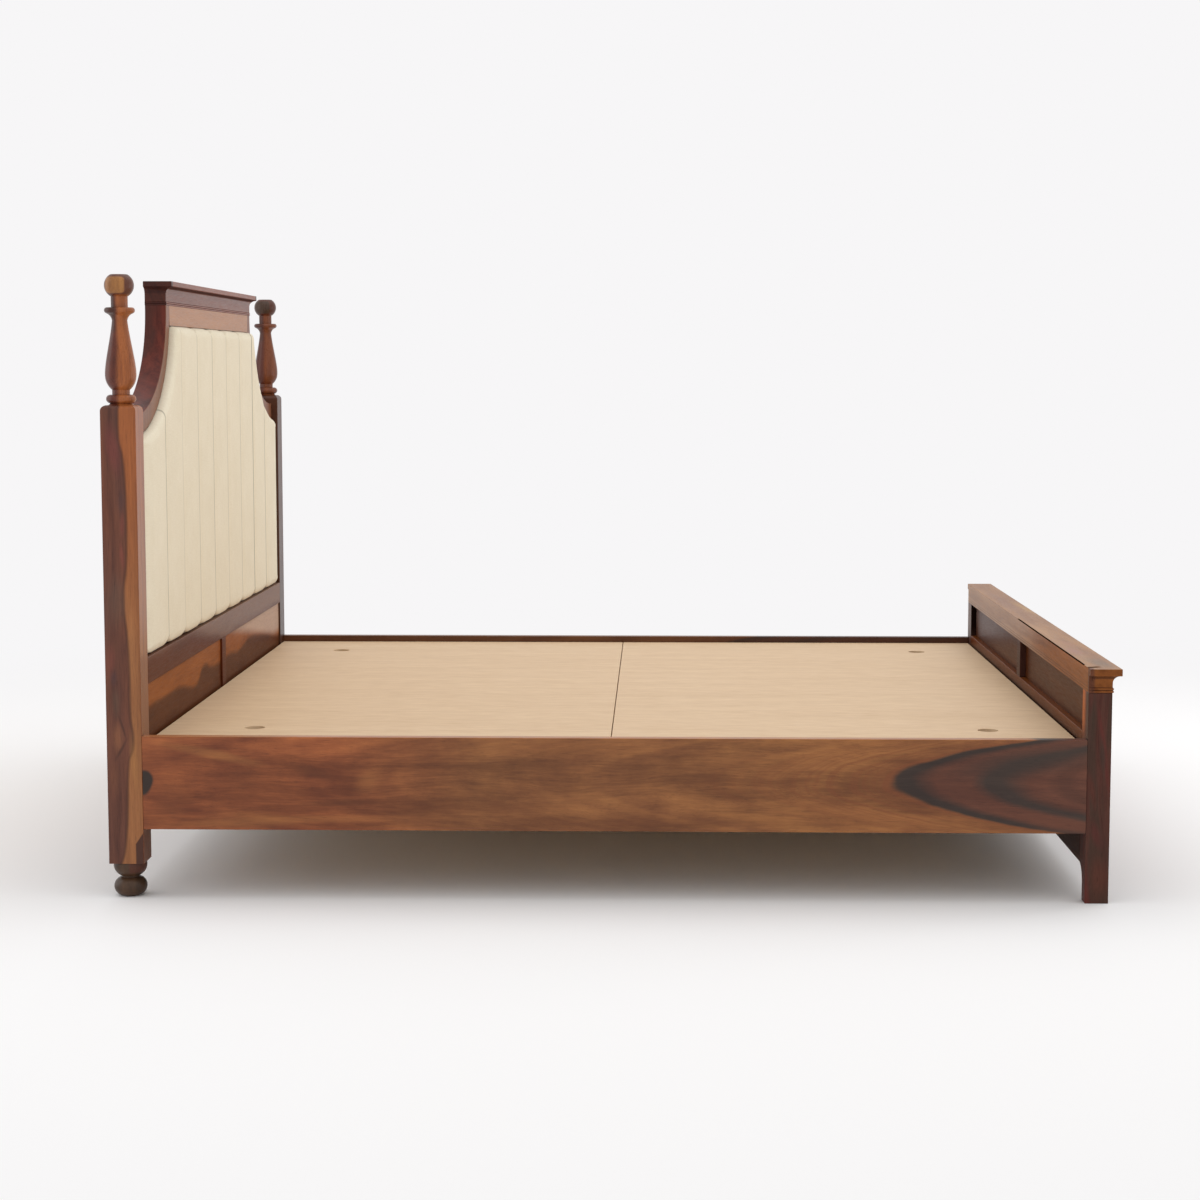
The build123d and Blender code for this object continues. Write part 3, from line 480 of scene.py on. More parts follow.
# Soft ellipses: x, z (y on the cap), half length, half height, tilt, strength and, on some, a display colour
RAIL_PATCHES = (
    (-0.638, 0.276, 0.06, 0.013, -0.25, 0.6), (-0.585, 0.21, 0.09, 0.011, 0.05, 0.65),
    (-0.79, 0.262, 0.05, 0.034, 0.3, 0.22), (-0.93, 0.215, 0.045, 0.05, 0.0, 0.3),
    (-0.06, 0.17, 0.26, 0.02, 0.02, 0.4), (-0.3, 0.2, 0.2, 0.018, 0.03, 0.28),
    (0.245, 0.245, 0.07, 0.034, -0.2, 0.2), (0.37, 0.252, 0.03, 0.024, 0.0, 0.2),
    (0.2, 0.175, 0.22, 0.024, 0.0, 0.28), (0.08, 0.24, 0.05, 0.06, 0.0, 0.1),
)
RAIL_HIGHLIGHTS = (
    (-0.85, 0.312, 0.11, 0.013, -0.22, 0.55), (-0.52, 0.262, 0.035, 0.024, 0.5, 0.35),
    (-0.68, 0.168, 0.26, 0.01, 0.03, 0.4), (0.48, 0.305, 0.16, 0.022, 0.22, 0.25),
    (0.56, 0.19, 0.2, 0.018, -0.16, 0.5), (-0.78, 0.17, 0.11, 0.02, 0.0, 0.3),
    (-0.08, 0.325, 0.24, 0.02, 0.0, 0.3), (-0.4, 0.175, 0.09, 0.02, 0.0, 0.2),
)
POST_PATCHES = (
    (-1.045, 0.345, 0.012, 0.036, 0.0, 0.7, 134, 84, 56),
    (-1.037, 0.322, 0.004, 0.032, -0.54, 0.7, 70, 40, 30),
    (-1.0335, 0.37, 0.004, 0.032, 0.37, 0.7, 70, 40, 30), (-1.048, 0.42, 0.01, 0.034, 0.0, 0.35, 92, 74, 58),
    (-1.06, 0.51, 0.01, 0.04, 0.0, 0.45, 126, 66, 54), (-1.052, 0.475, 0.007, 0.02, 0.0, 0.5, 80, 54, 54),
    (-1.048, 0.64, 0.024, 0.06, 0.0, 0.4, 102, 80, 66), (-1.031, 0.735, 0.006, 0.03, 0.1, 0.6, 130, 66, 54),
    (-1.03, 0.8, 0.006, 0.03, 0.0, 0.5, 128, 64, 54), (-1.034, 0.85, 0.01, 0.03, 0.0, 0.5, 80, 54, 52),
    (-1.05, 0.96, 0.018, 0.06, 0.1, 0.5, 124, 58, 54), (-1.052, 0.26, 0.012, 0.04, 0.0, 0.3, 122, 74, 48),
    (-1.006, 0.3, 0.01, 0.07, 0.1, 0.3, 160, 112, 60), (-1.016, 0.56, 0.01, 0.09, 0.0, 0.3, 164, 112, 68),
)
CAP_PATCHES = (
    (1.04, -0.86, 0.022, 0.09, 0.15, 0.6, 118, 104, 92), (1.02, -0.66, 0.016, 0.07, 0.0, 0.5, 166, 122, 112),
    (1.052, -0.48, 0.018, 0.3, 0.06, 0.5, 176, 132, 92), (1.03, -0.52, 0.012, 0.06, 0.1, 0.5, 168, 118, 92),
    (1.052, 0.3, 0.012, 0.18, 0.05, 0.5, 182, 146, 96), (1.024, 0.42, 0.02, 0.38, 0.0, 0.5, 140, 106, 92),
)
FOOT_POST_PATCHES = (
    (1.032, 0.365, 0.006, 0.08, 0.22, 0.5, 100, 50, 46), (1.044, 0.285, 0.006, 0.05, 0.25, 0.5, 100, 50, 46),
    (1.02, 0.245, 0.007, 0.05, 0.15, 0.4, 100, 52, 44), (1.014, 0.4, 0.007, 0.05, 0.0, 0.5, 64, 54, 46),
    (1.034, 0.32, 0.007, 0.045, 0.1, 0.6, 64, 56, 50), (1.03, 0.15, 0.012, 0.036, 0.3, 0.4, 100, 48, 46),
    (1.036, 0.06, 0.018, 0.05, 0.0, 0.6, 96, 56, 46),
)
# Borders of light and dark wood: share of the way along, and share of the way across
POST_BORDER = (
    (0.0, 0.35), (0.06, 0.5), (0.18, 0.58), (0.225, 0.62), (0.27, 0.76), (0.33, 0.68), (0.44, 0.68),
    (0.5, 0.64), (0.585, 0.56), (0.66, 0.65), (0.72, 0.67), (0.83, 0.66), (0.89, 0.6), (0.935, 0.5),
    (1.0, 0.5),
)
PANEL_BORDER = (
    (0.0, 0.55), (0.12, 0.55), (0.2, 0.53), (0.27, 0.4), (0.3, 0.36), (0.335, 0.47), (0.37, 0.64),
    (0.41, 0.54), (0.47, 0.49), (0.56, 0.52), (0.63, 0.46), (0.68, 0.54), (0.73, 0.62), (0.8, 0.55),
    (0.88, 0.4), (1.0, 0.2),
)


def rail_timber(settings):
    """Side rails: flame figure, a knot at the head post, and an arched dark heart at the foot.

    Depth into the heart = x - tip - k (z - axis)^2 plus slow sway, so curves of equal depth are parabolas.
    The bend k is larger above the axis than below. The right rail is sawn half a metre further along and
    darkened by painted shade.
    """
    wood = Timber("side rail timber", "x", (3.1, 0.0, 0.4), 0.05, (2.2, 9.0, 9.0))
    other = wood.right()
    wood.x = wood.x + other * 0.5
    wood.grow((0.06, 0.62), 26.0, (0.14, 0.42, 0.28, 0.16))
    red, brown, gold = settings.rail_red, settings.rail_brown, settings.rail_gold
    main = wood.x.span(-1.0, 0.7).ramp((0.0, red), (0.24, red), (0.42, brown), (0.65, brown), (0.9, gold))
    shaded = wood.growth.ramp((0.22, (0.6, 0.56, 0.56)), (0.5, (1.0, 1.0, 1.0)), (0.8, (1.3, 1.34, 1.28)))
    base = main.tinted(shaded)
    flames = wood.layer(8.0, 10.0, 4.0, 0.6).ramp((0.15, (0.8, 0.76, 0.76)), (0.8, (1.14, 1.18, 1.14)))
    base = base.tinted(flames)
    base = wood.patches(base, RAIL_PATCHES, shade(red, 0.42))
    base = wood.patches(base, RAIL_HIGHLIGHTS, shade(gold, 1.22))
    height = wood.z - HEART_AXIS
    bend = height.span(-0.012, 0.012, *HEART_BENDS)
    arch = height ** 2.0 * bend
    ragged = (wood.layer(14.0, 26.0) - 0.5) * 0.014
    depth = wood.x - HEART_TIP - arch + (wood.sway[0] * 0.07 + wood.sway[1] * 0.02 + ragged)
    bands = (depth * 7.0).line_noise().ramp((0.15, (0.84, 0.8, 0.82)), (0.8, (1.12, 1.14, 1.1)))
    base = base.tinted(bands)
    dark, light = settings.heart_dark, settings.heart_light
    heart = depth.span(0.0, 0.6).ramp(
        (0.0, dark), (0.06, dark), (0.14, light), (0.27, light), (0.33, shade(dark, 1.15)),
        (0.38, shade(dark, 1.1)), (0.47, shade(light, 0.85)), (0.52, light), (0.57, shade(light, 0.72)),
        (0.61, shade(light, 0.72)), (0.66, light), (0.8, shade(light, 0.8)), (0.88, dark),
        (1.0, shade(light, 0.9)))
    lively = wood.growth.ramp((0.25, (0.74, 0.7, 0.72)), (0.5, (1.0, 1.0, 1.0)), (0.78, (1.22, 1.16, 1.1)))
    heart = heart.tinted(lively)
    heart = wood.patch((0.9, 0.31), (0.17, 0.034), 0.16, 0.8).blend(heart, dark)
    heart = wood.patch((0.94, 0.172), (0.09, 0.024), -0.2, 0.6).blend(heart, light)
    rings = (depth * 30.0).line_noise(3.0, 0.6)
    fade = depth.ease(-0.55, -0.02, 0.0, 0.55)
    base = (fade * rings.span(0.6, 0.3)).blend(base, shade(red, 0.72))
    # Painted highlight: the rail's top edge is lightened where light falls on it
    top = wood.z.span(RAIL_HIGH[2] - 0.0012, RAIL_HIGH[2] - 0.0004, 0.0, 0.5)
    base = top.blend(base, shade(gold, 1.6))
    base = depth.ease(-0.016, 0.012).blend(base, heart)
    knot = wood.patch((-0.998, 0.251), (0.03, 0.034), 0.0, 1.0)
    base = knot.ease(0.3, 0.6).blend(base, shade(dark, 0.75))
    # Painted shade: the right rail, seen only in the shade inside the bed, is darkened
    base = (other * 0.7).blend(base, shade(red, 0.16))
    return wood.finish(base, settings.gloss, settings.reflectivity)


def post_timber(settings):
    """Head posts: dark wood at the back, light at the front, and a winding line between them."""
    wood = Timber("head post timber", "z", (0.7, 0.3, 0.2), 0.03, (2.4, 10.0, 10.0))
    wood.grow((0.35, 0.1), 60.0, (0.3, 0.2, 0.3, 0.2))
    light = wood.tones(settings.post_light, 0.6)
    redder = wood.tones(shade(settings.turned_light, 1.05), 0.6)
    light = wood.z.span(0.5, 0.9).blend(light, redder)
    dark = wood.tones(settings.post_dark, 0.8)
    stain = wood.layer(3.0, 16.0, 2.0).span(0.25, 0.8, 0.0, 0.6)
    dark = stain.blend(dark, wood.tones(settings.foot_post, 0.6))
    part = (wood.x - POST_LOW[0]) / (POST_HIGH[0] - POST_LOW[0])
    border = wood.z.curve(POST_LOW[2], POST_HIGH[2], POST_BORDER)
    edge = part + wood.sway[1] * 0.06 - border
    base = edge.ease(-0.03, 0.04).blend(dark, light)
    line = abs(edge).ease(0.01, 0.07, 0.5, 0.0)
    base = line.blend(base, shade(settings.post_dark, 0.4))
    base = wood.patches(base, POST_PATCHES)
    low = part - wood.z.span(0.118, 0.148, 0.77, 1.04)
    base = low.ease(-0.02, 0.03).blend(base, shade(settings.post_dark, 0.5))
    front = wood.x.span(POST_HIGH[0] - 0.0012, POST_HIGH[0] - 0.0006)
    below = wood.z.ease(0.5, 0.54, 0.8, 0.0)
    base = (front * below).blend(base, linear(118, 62, 28))
    other = wood.right()
    # Painted shade: the right post is darkened
    base = (other * 0.85).blend(base, shade(settings.post_dark, 0.26))
    return wood.finish(base, settings.gloss, settings.reflectivity)


def finial_timber(settings):
    """Finials: dark red wood on one side, lighter on the other, and a tan face on the knob."""
    wood = Timber("finial timber", "z", (1.9, 0.0, 0.0), 0.02, (6.0, 20.0, 20.0))
    wood.grow((0.1, 0.4), 70.0, (0.3, 0.15, 0.35, 0.2))
    light = wood.tones(settings.turned_light, 0.8)
    dark = wood.tones(settings.turned_dark, 0.8)
    axis = (FINIAL_LOW[0] + FINIAL_HIGH[0]) / 2
    offset = wood.x - axis + wood.sway[0] * 0.02
    base = offset.ease(-0.008, 0.004).blend(dark, light)
    streak = abs(offset - 0.004).span(0.001, 0.005, 0.45, 0.0)
    base = streak.blend(base, shade(settings.turned_light, 1.35))
    top = FINIAL_HIGH[2]
    from_neck = abs(wood.z - (top - 0.082))
    neck = from_neck.ease(0.03, 0.046, 0.85, 0.0)
    shadow = neck * offset.ease(-0.008, 0.0, 1.0, 0.0)
    base = shadow.blend(base, shade(settings.post_dark, 0.42))
    across = abs(wood.x - (axis - 0.0045))
    middle = abs(wood.z - (top - 0.0225))
    apart = (across / 0.0215) ** 5.0 + (middle / 0.0175) ** 5.0
    other = wood.right()
    face = apart.ease(0.6, 1.3, 1.0, 0.0) * (1.0 - other)
    sides = wood.tones(shade(settings.post_dark, 0.85), 0.5)
    knob = wood.z.ease(top - 0.046, top - 0.04)
    base = knob.blend(base, face.blend(sides, wood.tones(settings.turned_tan, 0.5)))
    # Painted shade: the right finial is darkened
    base = (other * 0.6).blend(base, shade(settings.turned_dark, 0.75))
    square = apart.ease(0.6, 1.3, 1.0, 0.2) * other
    base = (square * knob * 0.85).blend(base, linear(66, 50, 38))
    return wood.finish(base, settings.gloss - 0.06, settings.reflectivity)


def ball_foot_timber(settings):
    """Ball feet: olive-brown in the middle, darkened at the sides by painted shade, and a redder collar."""
    wood = Timber("ball foot timber", "z", (0.4, 0.0, 0.0), 0.02, (6.0, 20.0, 20.0))
    wood.grow((0.2, 0.3), 80.0, (0.25, 0.2, 0.35, 0.2))
    rgb = settings.ball_foot
    low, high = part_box("ball_foot_left")
    offset = wood.x - (low[0] + high[0]) / 2
    # Painted shade: the sides of each ball are darkened
    sides = abs(offset).ease(0.012, 0.022, 0.0, 0.6)
    base = sides.blend(wood.tones(rgb, 0.6), shade(rgb, 0.45))
    collar = wood.z.span(0.05, 0.055) * offset.span(0.002, 0.008)
    base = (collar * 0.6).blend(base, settings.turned_dark)
    return wood.finish(base, settings.gloss, settings.reflectivity)


def wing_timber(settings):
    """Wings: dark red edge with darker stains, and a lighter front face."""
    wood = Timber("wing timber", "z", (0.9, 0.2, 0.0), 0.06, (1.6, 7.0, 7.0))
    wood.grow((0.1, 0.9), 34.0)
    edge = wood.tones(settings.wing, 0.9)
    stain = wood.layer(3.5, 14.0, 2.0).ease(0.4, 0.85, 0.0, 0.7)
    edge = stain.blend(edge, shade(settings.foot_post, 0.6))
    front = wood.tones(settings.wing_front, 0.5)
    skin = wood.x.span(WING_HIGH[0] - 0.0012, WING_HIGH[0] - 0.0006)
    return wood.finish(skin.blend(edge, front), settings.gloss, settings.reflectivity * 0.6)


def headboard_panel_timber(settings):
    """Lower headboard panels: light wood above a dark, hilly border of heartwood, with a pale painted
    reflection at the far top.
    """
    wood = Timber("headboard panel timber", "y", (0.2, 0.0, 0.1), 0.05, (3.0, 8.0, 8.0))
    wood.grow((0.2, 0.55), 40.0)
    light = wood.tones(settings.panel_light, 0.6)
    dark = wood.tones(settings.panel_dark, 0.6)
    pale = wood.tones(settings.panel_painted_reflection, 0.25)
    low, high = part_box("headboard_panel_left")
    reach = max(abs(low[1]), abs(high[1]))
    border = wood.y.curve(-reach, reach, PANEL_BORDER)
    height = wood.z.span(DECK_TOP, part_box("headboard_middle_rail")[0][2])
    above = height - border + wood.sway[1] * 0.08
    # Painted reflection: pale above a line that falls towards the right end
    reflection_slant = height - wood.y.span(0.05, 0.78, 1.1, 0.35)
    light = reflection_slant.ease(-0.12, 0.12).blend(light, pale)
    base = above.ease(-0.07, 0.09).blend(dark, light)
    return wood.finish(base, settings.gloss + 0.06, settings.panel_reflectivity)


def middle_rail_timber(settings):
    """Middle rail of the headboard: dark wood, with a pale painted reflection beyond a slanting border."""
    wood = Timber("middle rail timber", "y", (0.3, 0.0, 0.0), 0.05, (2.0, 9.0, 9.0))
    wood.grow((0.3, 0.7), 50.0)
    dark = wood.tones(settings.middle_rail, 0.5)
    pale = wood.tones(settings.middle_rail_painted_reflection, 0.3)
    low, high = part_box("headboard_middle_rail")
    # Painted reflection: pale above a border that falls towards the right end
    border = wood.y.span(-0.42, 0.02, high[2], low[2])
    above = wood.z - border + wood.sway[1] * 0.02
    base = above.ease(-0.018, 0.024).blend(dark, pale)
    return wood.finish(base, settings.gloss, settings.panel_reflectivity)


def foot_post_timber(settings):
    """Foot posts: dark heartwood, partly red and partly olive, with a skin of sapwood on the inner face."""
    wood = Timber("foot post timber", "z", (0.2, 0.0, 0.0), 0.04, (2.4, 12.0, 12.0))
    wood.grow((1.2, 0.4), 70.0, (0.3, 0.25, 0.3, 0.15))
    base = wood.tones(settings.foot_post, 0.7)
    stain = wood.layer(3.0, 22.0, 2.0).ease(0.35, 0.7, 0.0, 0.55)
    base = stain.blend(base, linear(66, 56, 48))
    glow = wood.layer(2.6, 18.0, 1.0).ease(0.55, 0.9, 0.0, 0.5)
    base = glow.blend(base, linear(108, 50, 46))
    base = wood.patches(base, FOOT_POST_PATCHES)
    inner = wood.x.span(RAIL_HIGH[0] + 0.0006, RAIL_HIGH[0] + 0.0016, 1.0, 0.0)
    above = wood.z.ease(DECK_TOP, DECK_TOP + 0.06)
    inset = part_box("foot_post_right")[0][1]
    strip = wood.y.ease(-inset - 0.045, -inset - 0.02)
    strip = strip * wood.y.span(0.01, -0.01)
    mask = inner * above * strip
    base = mask.blend(base, wood.tones(settings.foot_post_edge, 0.4))
    # Painted shade: the recess on the right post's inner face is darkened almost to black
    recess_shade = wood.y.span(inset + 0.0012, inset + 0.0004) * wood.right()
    base = (recess_shade * above).blend(base, shade(settings.foot_post, 0.12))
    # Painted reflection: a grey strip beside it on the right post's inner face
    pale = wood.y.span(inset + 0.0016, inset + 0.0026) * (inner * above)
    base = (pale * 0.8).blend(base, linear(124, 104, 98))
    return wood.finish(base, settings.gloss, settings.panel_reflectivity)


def footboard_panel_timber(settings):
    """Footboard panels: dark wood, with a grey painted reflection towards the top of the far end."""
    wood = Timber("footboard panel timber", "y", (0.6, 0.0, 0.0))
    wood.grow((1.2, 0.6), 40.0)
    low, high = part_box("footboard_panel_right")
    # Painted reflection: grey towards the top of the right end
    far = wood.y.ease(0.15, high[1], 0.0, 0.8)
    up = wood.z.ease(DECK_TOP + 0.02, high[2] - 0.03)
    pale = wood.tones(settings.footboard_painted_reflection, 0.3)
    base = (far * up).blend(wood.tones(settings.footboard_panel, 0.5), pale)
    return wood.finish(base, settings.gloss, settings.panel_reflectivity)


def footboard_rail_timber(settings):
    """Lower rail and stile of the footboard: light rail, darker inside the bed with painted shade towards
    the deck, and a dark stile.
    """
    wood = Timber("footboard rail timber", "y", (0.1, 0.0, 0.0), 0.06, (2.0, 9.0, 9.0))
    wood.grow((1.3, 0.5), 30.0)
    low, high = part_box("footboard_bottom_rail")
    rail = wood.tones(settings.footboard_rail, 0.8)
    # Painted shade: the inner face darkens towards the deck
    shaded = wood.z.span(DECK_TOP, high[2]).ramp(
        (0.0, (0.16, 0.1, 0.08)), (0.3, (0.62, 0.5, 0.4)), (1.0, (1.05, 1.0, 0.95)))
    inner = wood.tones(settings.footboard_inner, 0.5).tinted(shaded)
    inside = wood.x.span(low[0] + 0.0022, low[0] + 0.0014)
    rail = inside.blend(rail, inner)
    # Painted light: the ledge on the rail's top is lightened a little against its shade
    ledge = wood.z.span(high[2] - 0.0012, high[2] - 0.0004)
    rail = ledge.blend(rail, wood.tones(shade(settings.footboard_inner, 1.05), 0.5))
    stile = wood.tones(shade(settings.foot_post, 0.7), 0.6)
    base = wood.z.span(high[2], high[2] + 0.001).blend(rail, stile)
    base = wood.z.ease(0.12, 0.22, 0.7, 0.0).blend(base, stile)
    return wood.finish(base, settings.gloss, settings.panel_reflectivity)


def footboard_cap_timber(settings):
    """Cap and mouldings of the footboard: a painted reflection greys the far end and the top, and painted
    shade marks a gap along the inner edge.
    """
    wood = Timber("footboard cap timber", "y", (0.9, 0.0, 0.0), 0.05, (2.0, 12.0, 12.0))
    low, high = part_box("footboard_cap")
    wood.grow((1.2, 0.8), 44.0)
    near = wood.tones(settings.cap_near, 0.7)
    far = wood.tones(settings.cap_far_painted_reflection, 0.4)
    place = wood.y + wood.sway[0] * 0.5
    # Painted reflection: the cap greys towards its right end
    base = place.ease(-0.55, 0.05).blend(near, far)
    top = wood.z.span(high[2] - 0.001, high[2] - 0.0004)
    clouds = wood.layer(2.5, 14.0, 3.0).ramp((0.2, (0.88, 0.86, 0.88)), (0.8, (1.08, 1.1, 1.06)))
    # The top face: its wood painted lighter and greyer, as a painted reflection
    above = wood.tones(settings.cap_top, 0.3).tinted(clouds)
    base = top.blend(base, above)
    base = wood.patches(base, CAP_PATCHES, upward=wood.y, within=top)
    black = shade(settings.foot_post, 0.08)
    # Painted shade of a gap: a black line along the inner top edge, from the middle to the left end
    half = wood.y.span(0.03, 0.0) * wood.y.span(-0.9, -0.89)
    edge = wood.z.span(high[2] - 0.0026, high[2] - 0.0016) * wood.x.span(low[0] + 0.003, low[0] + 0.002)
    gap_shade = edge * half
    base = gap_shade.blend(base, black)
    # Painted shade of a gap: a black sliver on the top near the left end
    corner_gap_shade = (wood.x - low[0]) * 0.35 - 0.942
    corner_gap_shade = abs(wood.y - corner_gap_shade)
    corner_gap_shade = corner_gap_shade.span(0.006, 0.012, 1.0, 0.0) * (top * wood.x.span(low[0] + 0.03, low[0] + 0.018))
    base = (corner_gap_shade * 0.8).blend(base, black)
    end = wood.y.span(-high[1] + 0.004, -high[1] + 0.002)
    end = end.most(wood.y.span(low[1] + 0.03, low[1] + 0.028))
    reach = wood.z.span(high[2] - 0.016, high[2] - 0.014, low[0] + 0.008, low[0] + 0.004)
    corner = (wood.x - reach).ease(0.0, 0.008, 0.75, 0.0)
    base = (end * corner).blend(base, wood.tones(settings.foot_post, 0.5))
    # Painted shadow: a dark line on the cap's end faces just below the cap
    shadow_below_cap = abs(wood.z - (high[2] - 0.0195)).span(0.002, 0.0045, 0.6, 0.0)
    base = (end * shadow_below_cap * wood.x.span(low[0] + 0.006, low[0] + 0.01)).blend(
        base, shade(settings.foot_post, 0.5))
    # Painted shade in each groove of the beads
    groove_shade = painted_groove_shade(wood, "footboard_beads", 0.45, 1.0)
    base = groove_shade.blend(base, shade(settings.foot_post, 0.5))
    return wood.finish(base, settings.gloss, settings.panel_reflectivity, gap_shade.most(corner_gap_shade))


def painted_groove_shade(wood, beads, wide, middle):
    """Painted shade in the groove on each side of a pair of beads and, at a middle strength, in the one
    between them.

    The mask follows |sin(pi h / half)| at height h above the beads' foot: it is dark where that is small.
    """
    height = wood.z
    low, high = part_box(beads)
    half = (high[2] - low[2]) / 2
    turn = (height - low[2]) * (math.pi / half)
    near = abs(turn.math("SINE")).ease(0.05, wide, 0.95, 0.0)
    centre = abs(height - (low[2] + half))
    near = near * centre.span(half * 0.4, half * 0.5, middle, 1.0)
    return near * (height.span(low[2] - 0.0008, low[2]) * height.span(high[2] + 0.0008, high[2]))


def crown_timber(settings):
    """Crown moulding: dark reddish wood, a lighter cap and beads, and painted shade in each groove of the
    beads.
    """
    wood = Timber("crown timber", "y", (0.1, 0.0, 0.0), 0.04, (2.0, 12.0, 12.0))
    wood.grow((0.2, 1.6), 60.0)
    base = wood.tones(settings.crown, 0.5)
    low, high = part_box("crown_beads")
    cap_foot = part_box("crown_cap")[0][2]
    lighter = wood.z.span(cap_foot, cap_foot + 0.001).most(wood.z.span(high[2] + 0.001, high[2]))
    base = lighter.blend(base, wood.tones(shade(settings.crown, 1.3), 0.4))
    joint = abs(wood.z - (cap_foot - 0.001)).span(0.0015, 0.004, 0.75, 0.0)
    base = joint.blend(base, shade(settings.wing, 0.3))
    # Painted shade in each groove of the beads
    groove_shade = painted_groove_shade(wood, "crown_beads", 0.85, 0.8)
    base = groove_shade.blend(base, shade(settings.wing, 0.3))
    ends = abs(wood.y).span(high[1] - 0.003, high[1] - 0.001, 0.0, 0.95)
    base = ends.blend(base, wood.tones(shade(settings.wing, 0.42), 0.9))
    return wood.finish(base, settings.gloss, settings.reflectivity * 0.8, groove_shade.most(joint))


def plywood(name, light, dark, along, contrast=1.0):
    """Sanded veneer: soft pale waves, short flecks and fine fibres."""
    wood = Timber(name, along, (0.0, 0.0, 0.0), 0.08, (1.2, 4.0, 4.0))
    fibres = wood.layer(12.0, 320.0, 3.0, 0.6)
    value = wood.layer(0.9, 16.0, 3.0) * 0.25 + wood.layer(16.0, 80.0, 3.0, 0.65) * 0.4 + fibres * 0.35
    middle = tuple((a + b) / 2 for a, b in zip(light, dark))
    low, high = (tuple(m + (t - m) * contrast for m, t in zip(middle, tone)) for tone in (dark, light))
    return wood.done({
        "Base Color": value.ramp((0.2, low), (0.5, middle), (0.8, high)),
        "Roughness": fibres.span(0.0, 1.0, 0.5, 0.66), "Specular IOR Level": 0.25}, fibres, 0.08, 0.0004)


def plated_steel(settings):
    """Zinc-plated steel with a faint cloudy finish."""
    steel = Material("zinc plated steel")
    cloud = steel.place().stretched((160.0, 160.0, 160.0)).noise(3.0, 0.6)
    return steel.done({
        "Base Color": cloud.blend(shade(settings.steel, 0.82), settings.steel),
        "Roughness": cloud.span(0.0, 1.0, 0.32, 0.46), "Metallic": 1.0})


def moulded_plastic(settings):
    """Matt plastic with a fine grain."""
    plastic = Material("glide plastic")
    speck = plastic.place().stretched((700.0, 700.0, 700.0)).noise()
    return plastic.done({
        "Base Color": speck.blend(settings.glide, shade(settings.glide, 1.5)),
        "Roughness": speck.span(0.0, 1.0, 0.5, 0.65)}, speck, 0.1, 0.0003)


def woven_cover(settings):
    """Plain-weave cover: crossed threads, with slubs, slight soiling and shade along the seams."""
    cloth = Material("woven cover")
    grid = value_of(cloth.tree, "ShaderNodeUVMap", uv_map="fabric")
    across, upward, _ = grid.parts()
    turn = 2 * math.pi / THREAD_PITCH
    value = (across * turn).math("SINE") * (upward * turn).math("SINE") * 0.16
    for scale, detail, roughness, weight in (
            ((900.0, 30.0, 1.0), 2.0, 0.5, 0.22), ((30.0, 900.0, 1.0), 2.0, 0.5, 0.22),
            ((9.0, 9.0, 1.0), 3.0, 0.6, 0.16)):
        value = value + grid.stretched(scale).noise(detail, roughness) * weight
    base = value.ramp((0.0, settings.thread), (0.55, settings.fabric), (1.0, shade(settings.fabric, 1.06)))
    half_pitch = settings.seam_pitch / 2
    reach = SEAM_COUNT * half_pitch
    from_seam = half_pitch - across.math("PINGPONG", half_pitch)
    soft = from_seam.ease(settings.seam_width * 0.15, settings.seam_width / 2, 1.0, 0.0)
    sewn = abs(across).span(reach, reach + 0.001, 1.0, 0.0)
    # Painted shade along each seam, with a strength for each seam
    seam_shade_strength = across.span(-reach, reach).ramp(
        *(((index + 0.5) / SEAM_COUNT, (depth,) * 3) for index, depth in enumerate(SEAM_DEPTHS)))
    return cloth.done({
        "Base Color": (soft * sewn * seam_shade_strength).blend(base, shade(settings.thread, 0.3)), "Roughness": 0.9,
        "Specular IOR Level": 0.2, "Sheen Weight": 0.12, "Sheen Roughness": 0.5}, value, 0.25, 0.0006)


def dress(names, material):
    """Gives CAD nodes a material."""
    for name in names:
        slots = NODES[name].data.materials
        for index in range(max(1, len(slots))):
            if index < len(slots):
                slots[index] = material
            else:
                slots.append(material)


# Pad

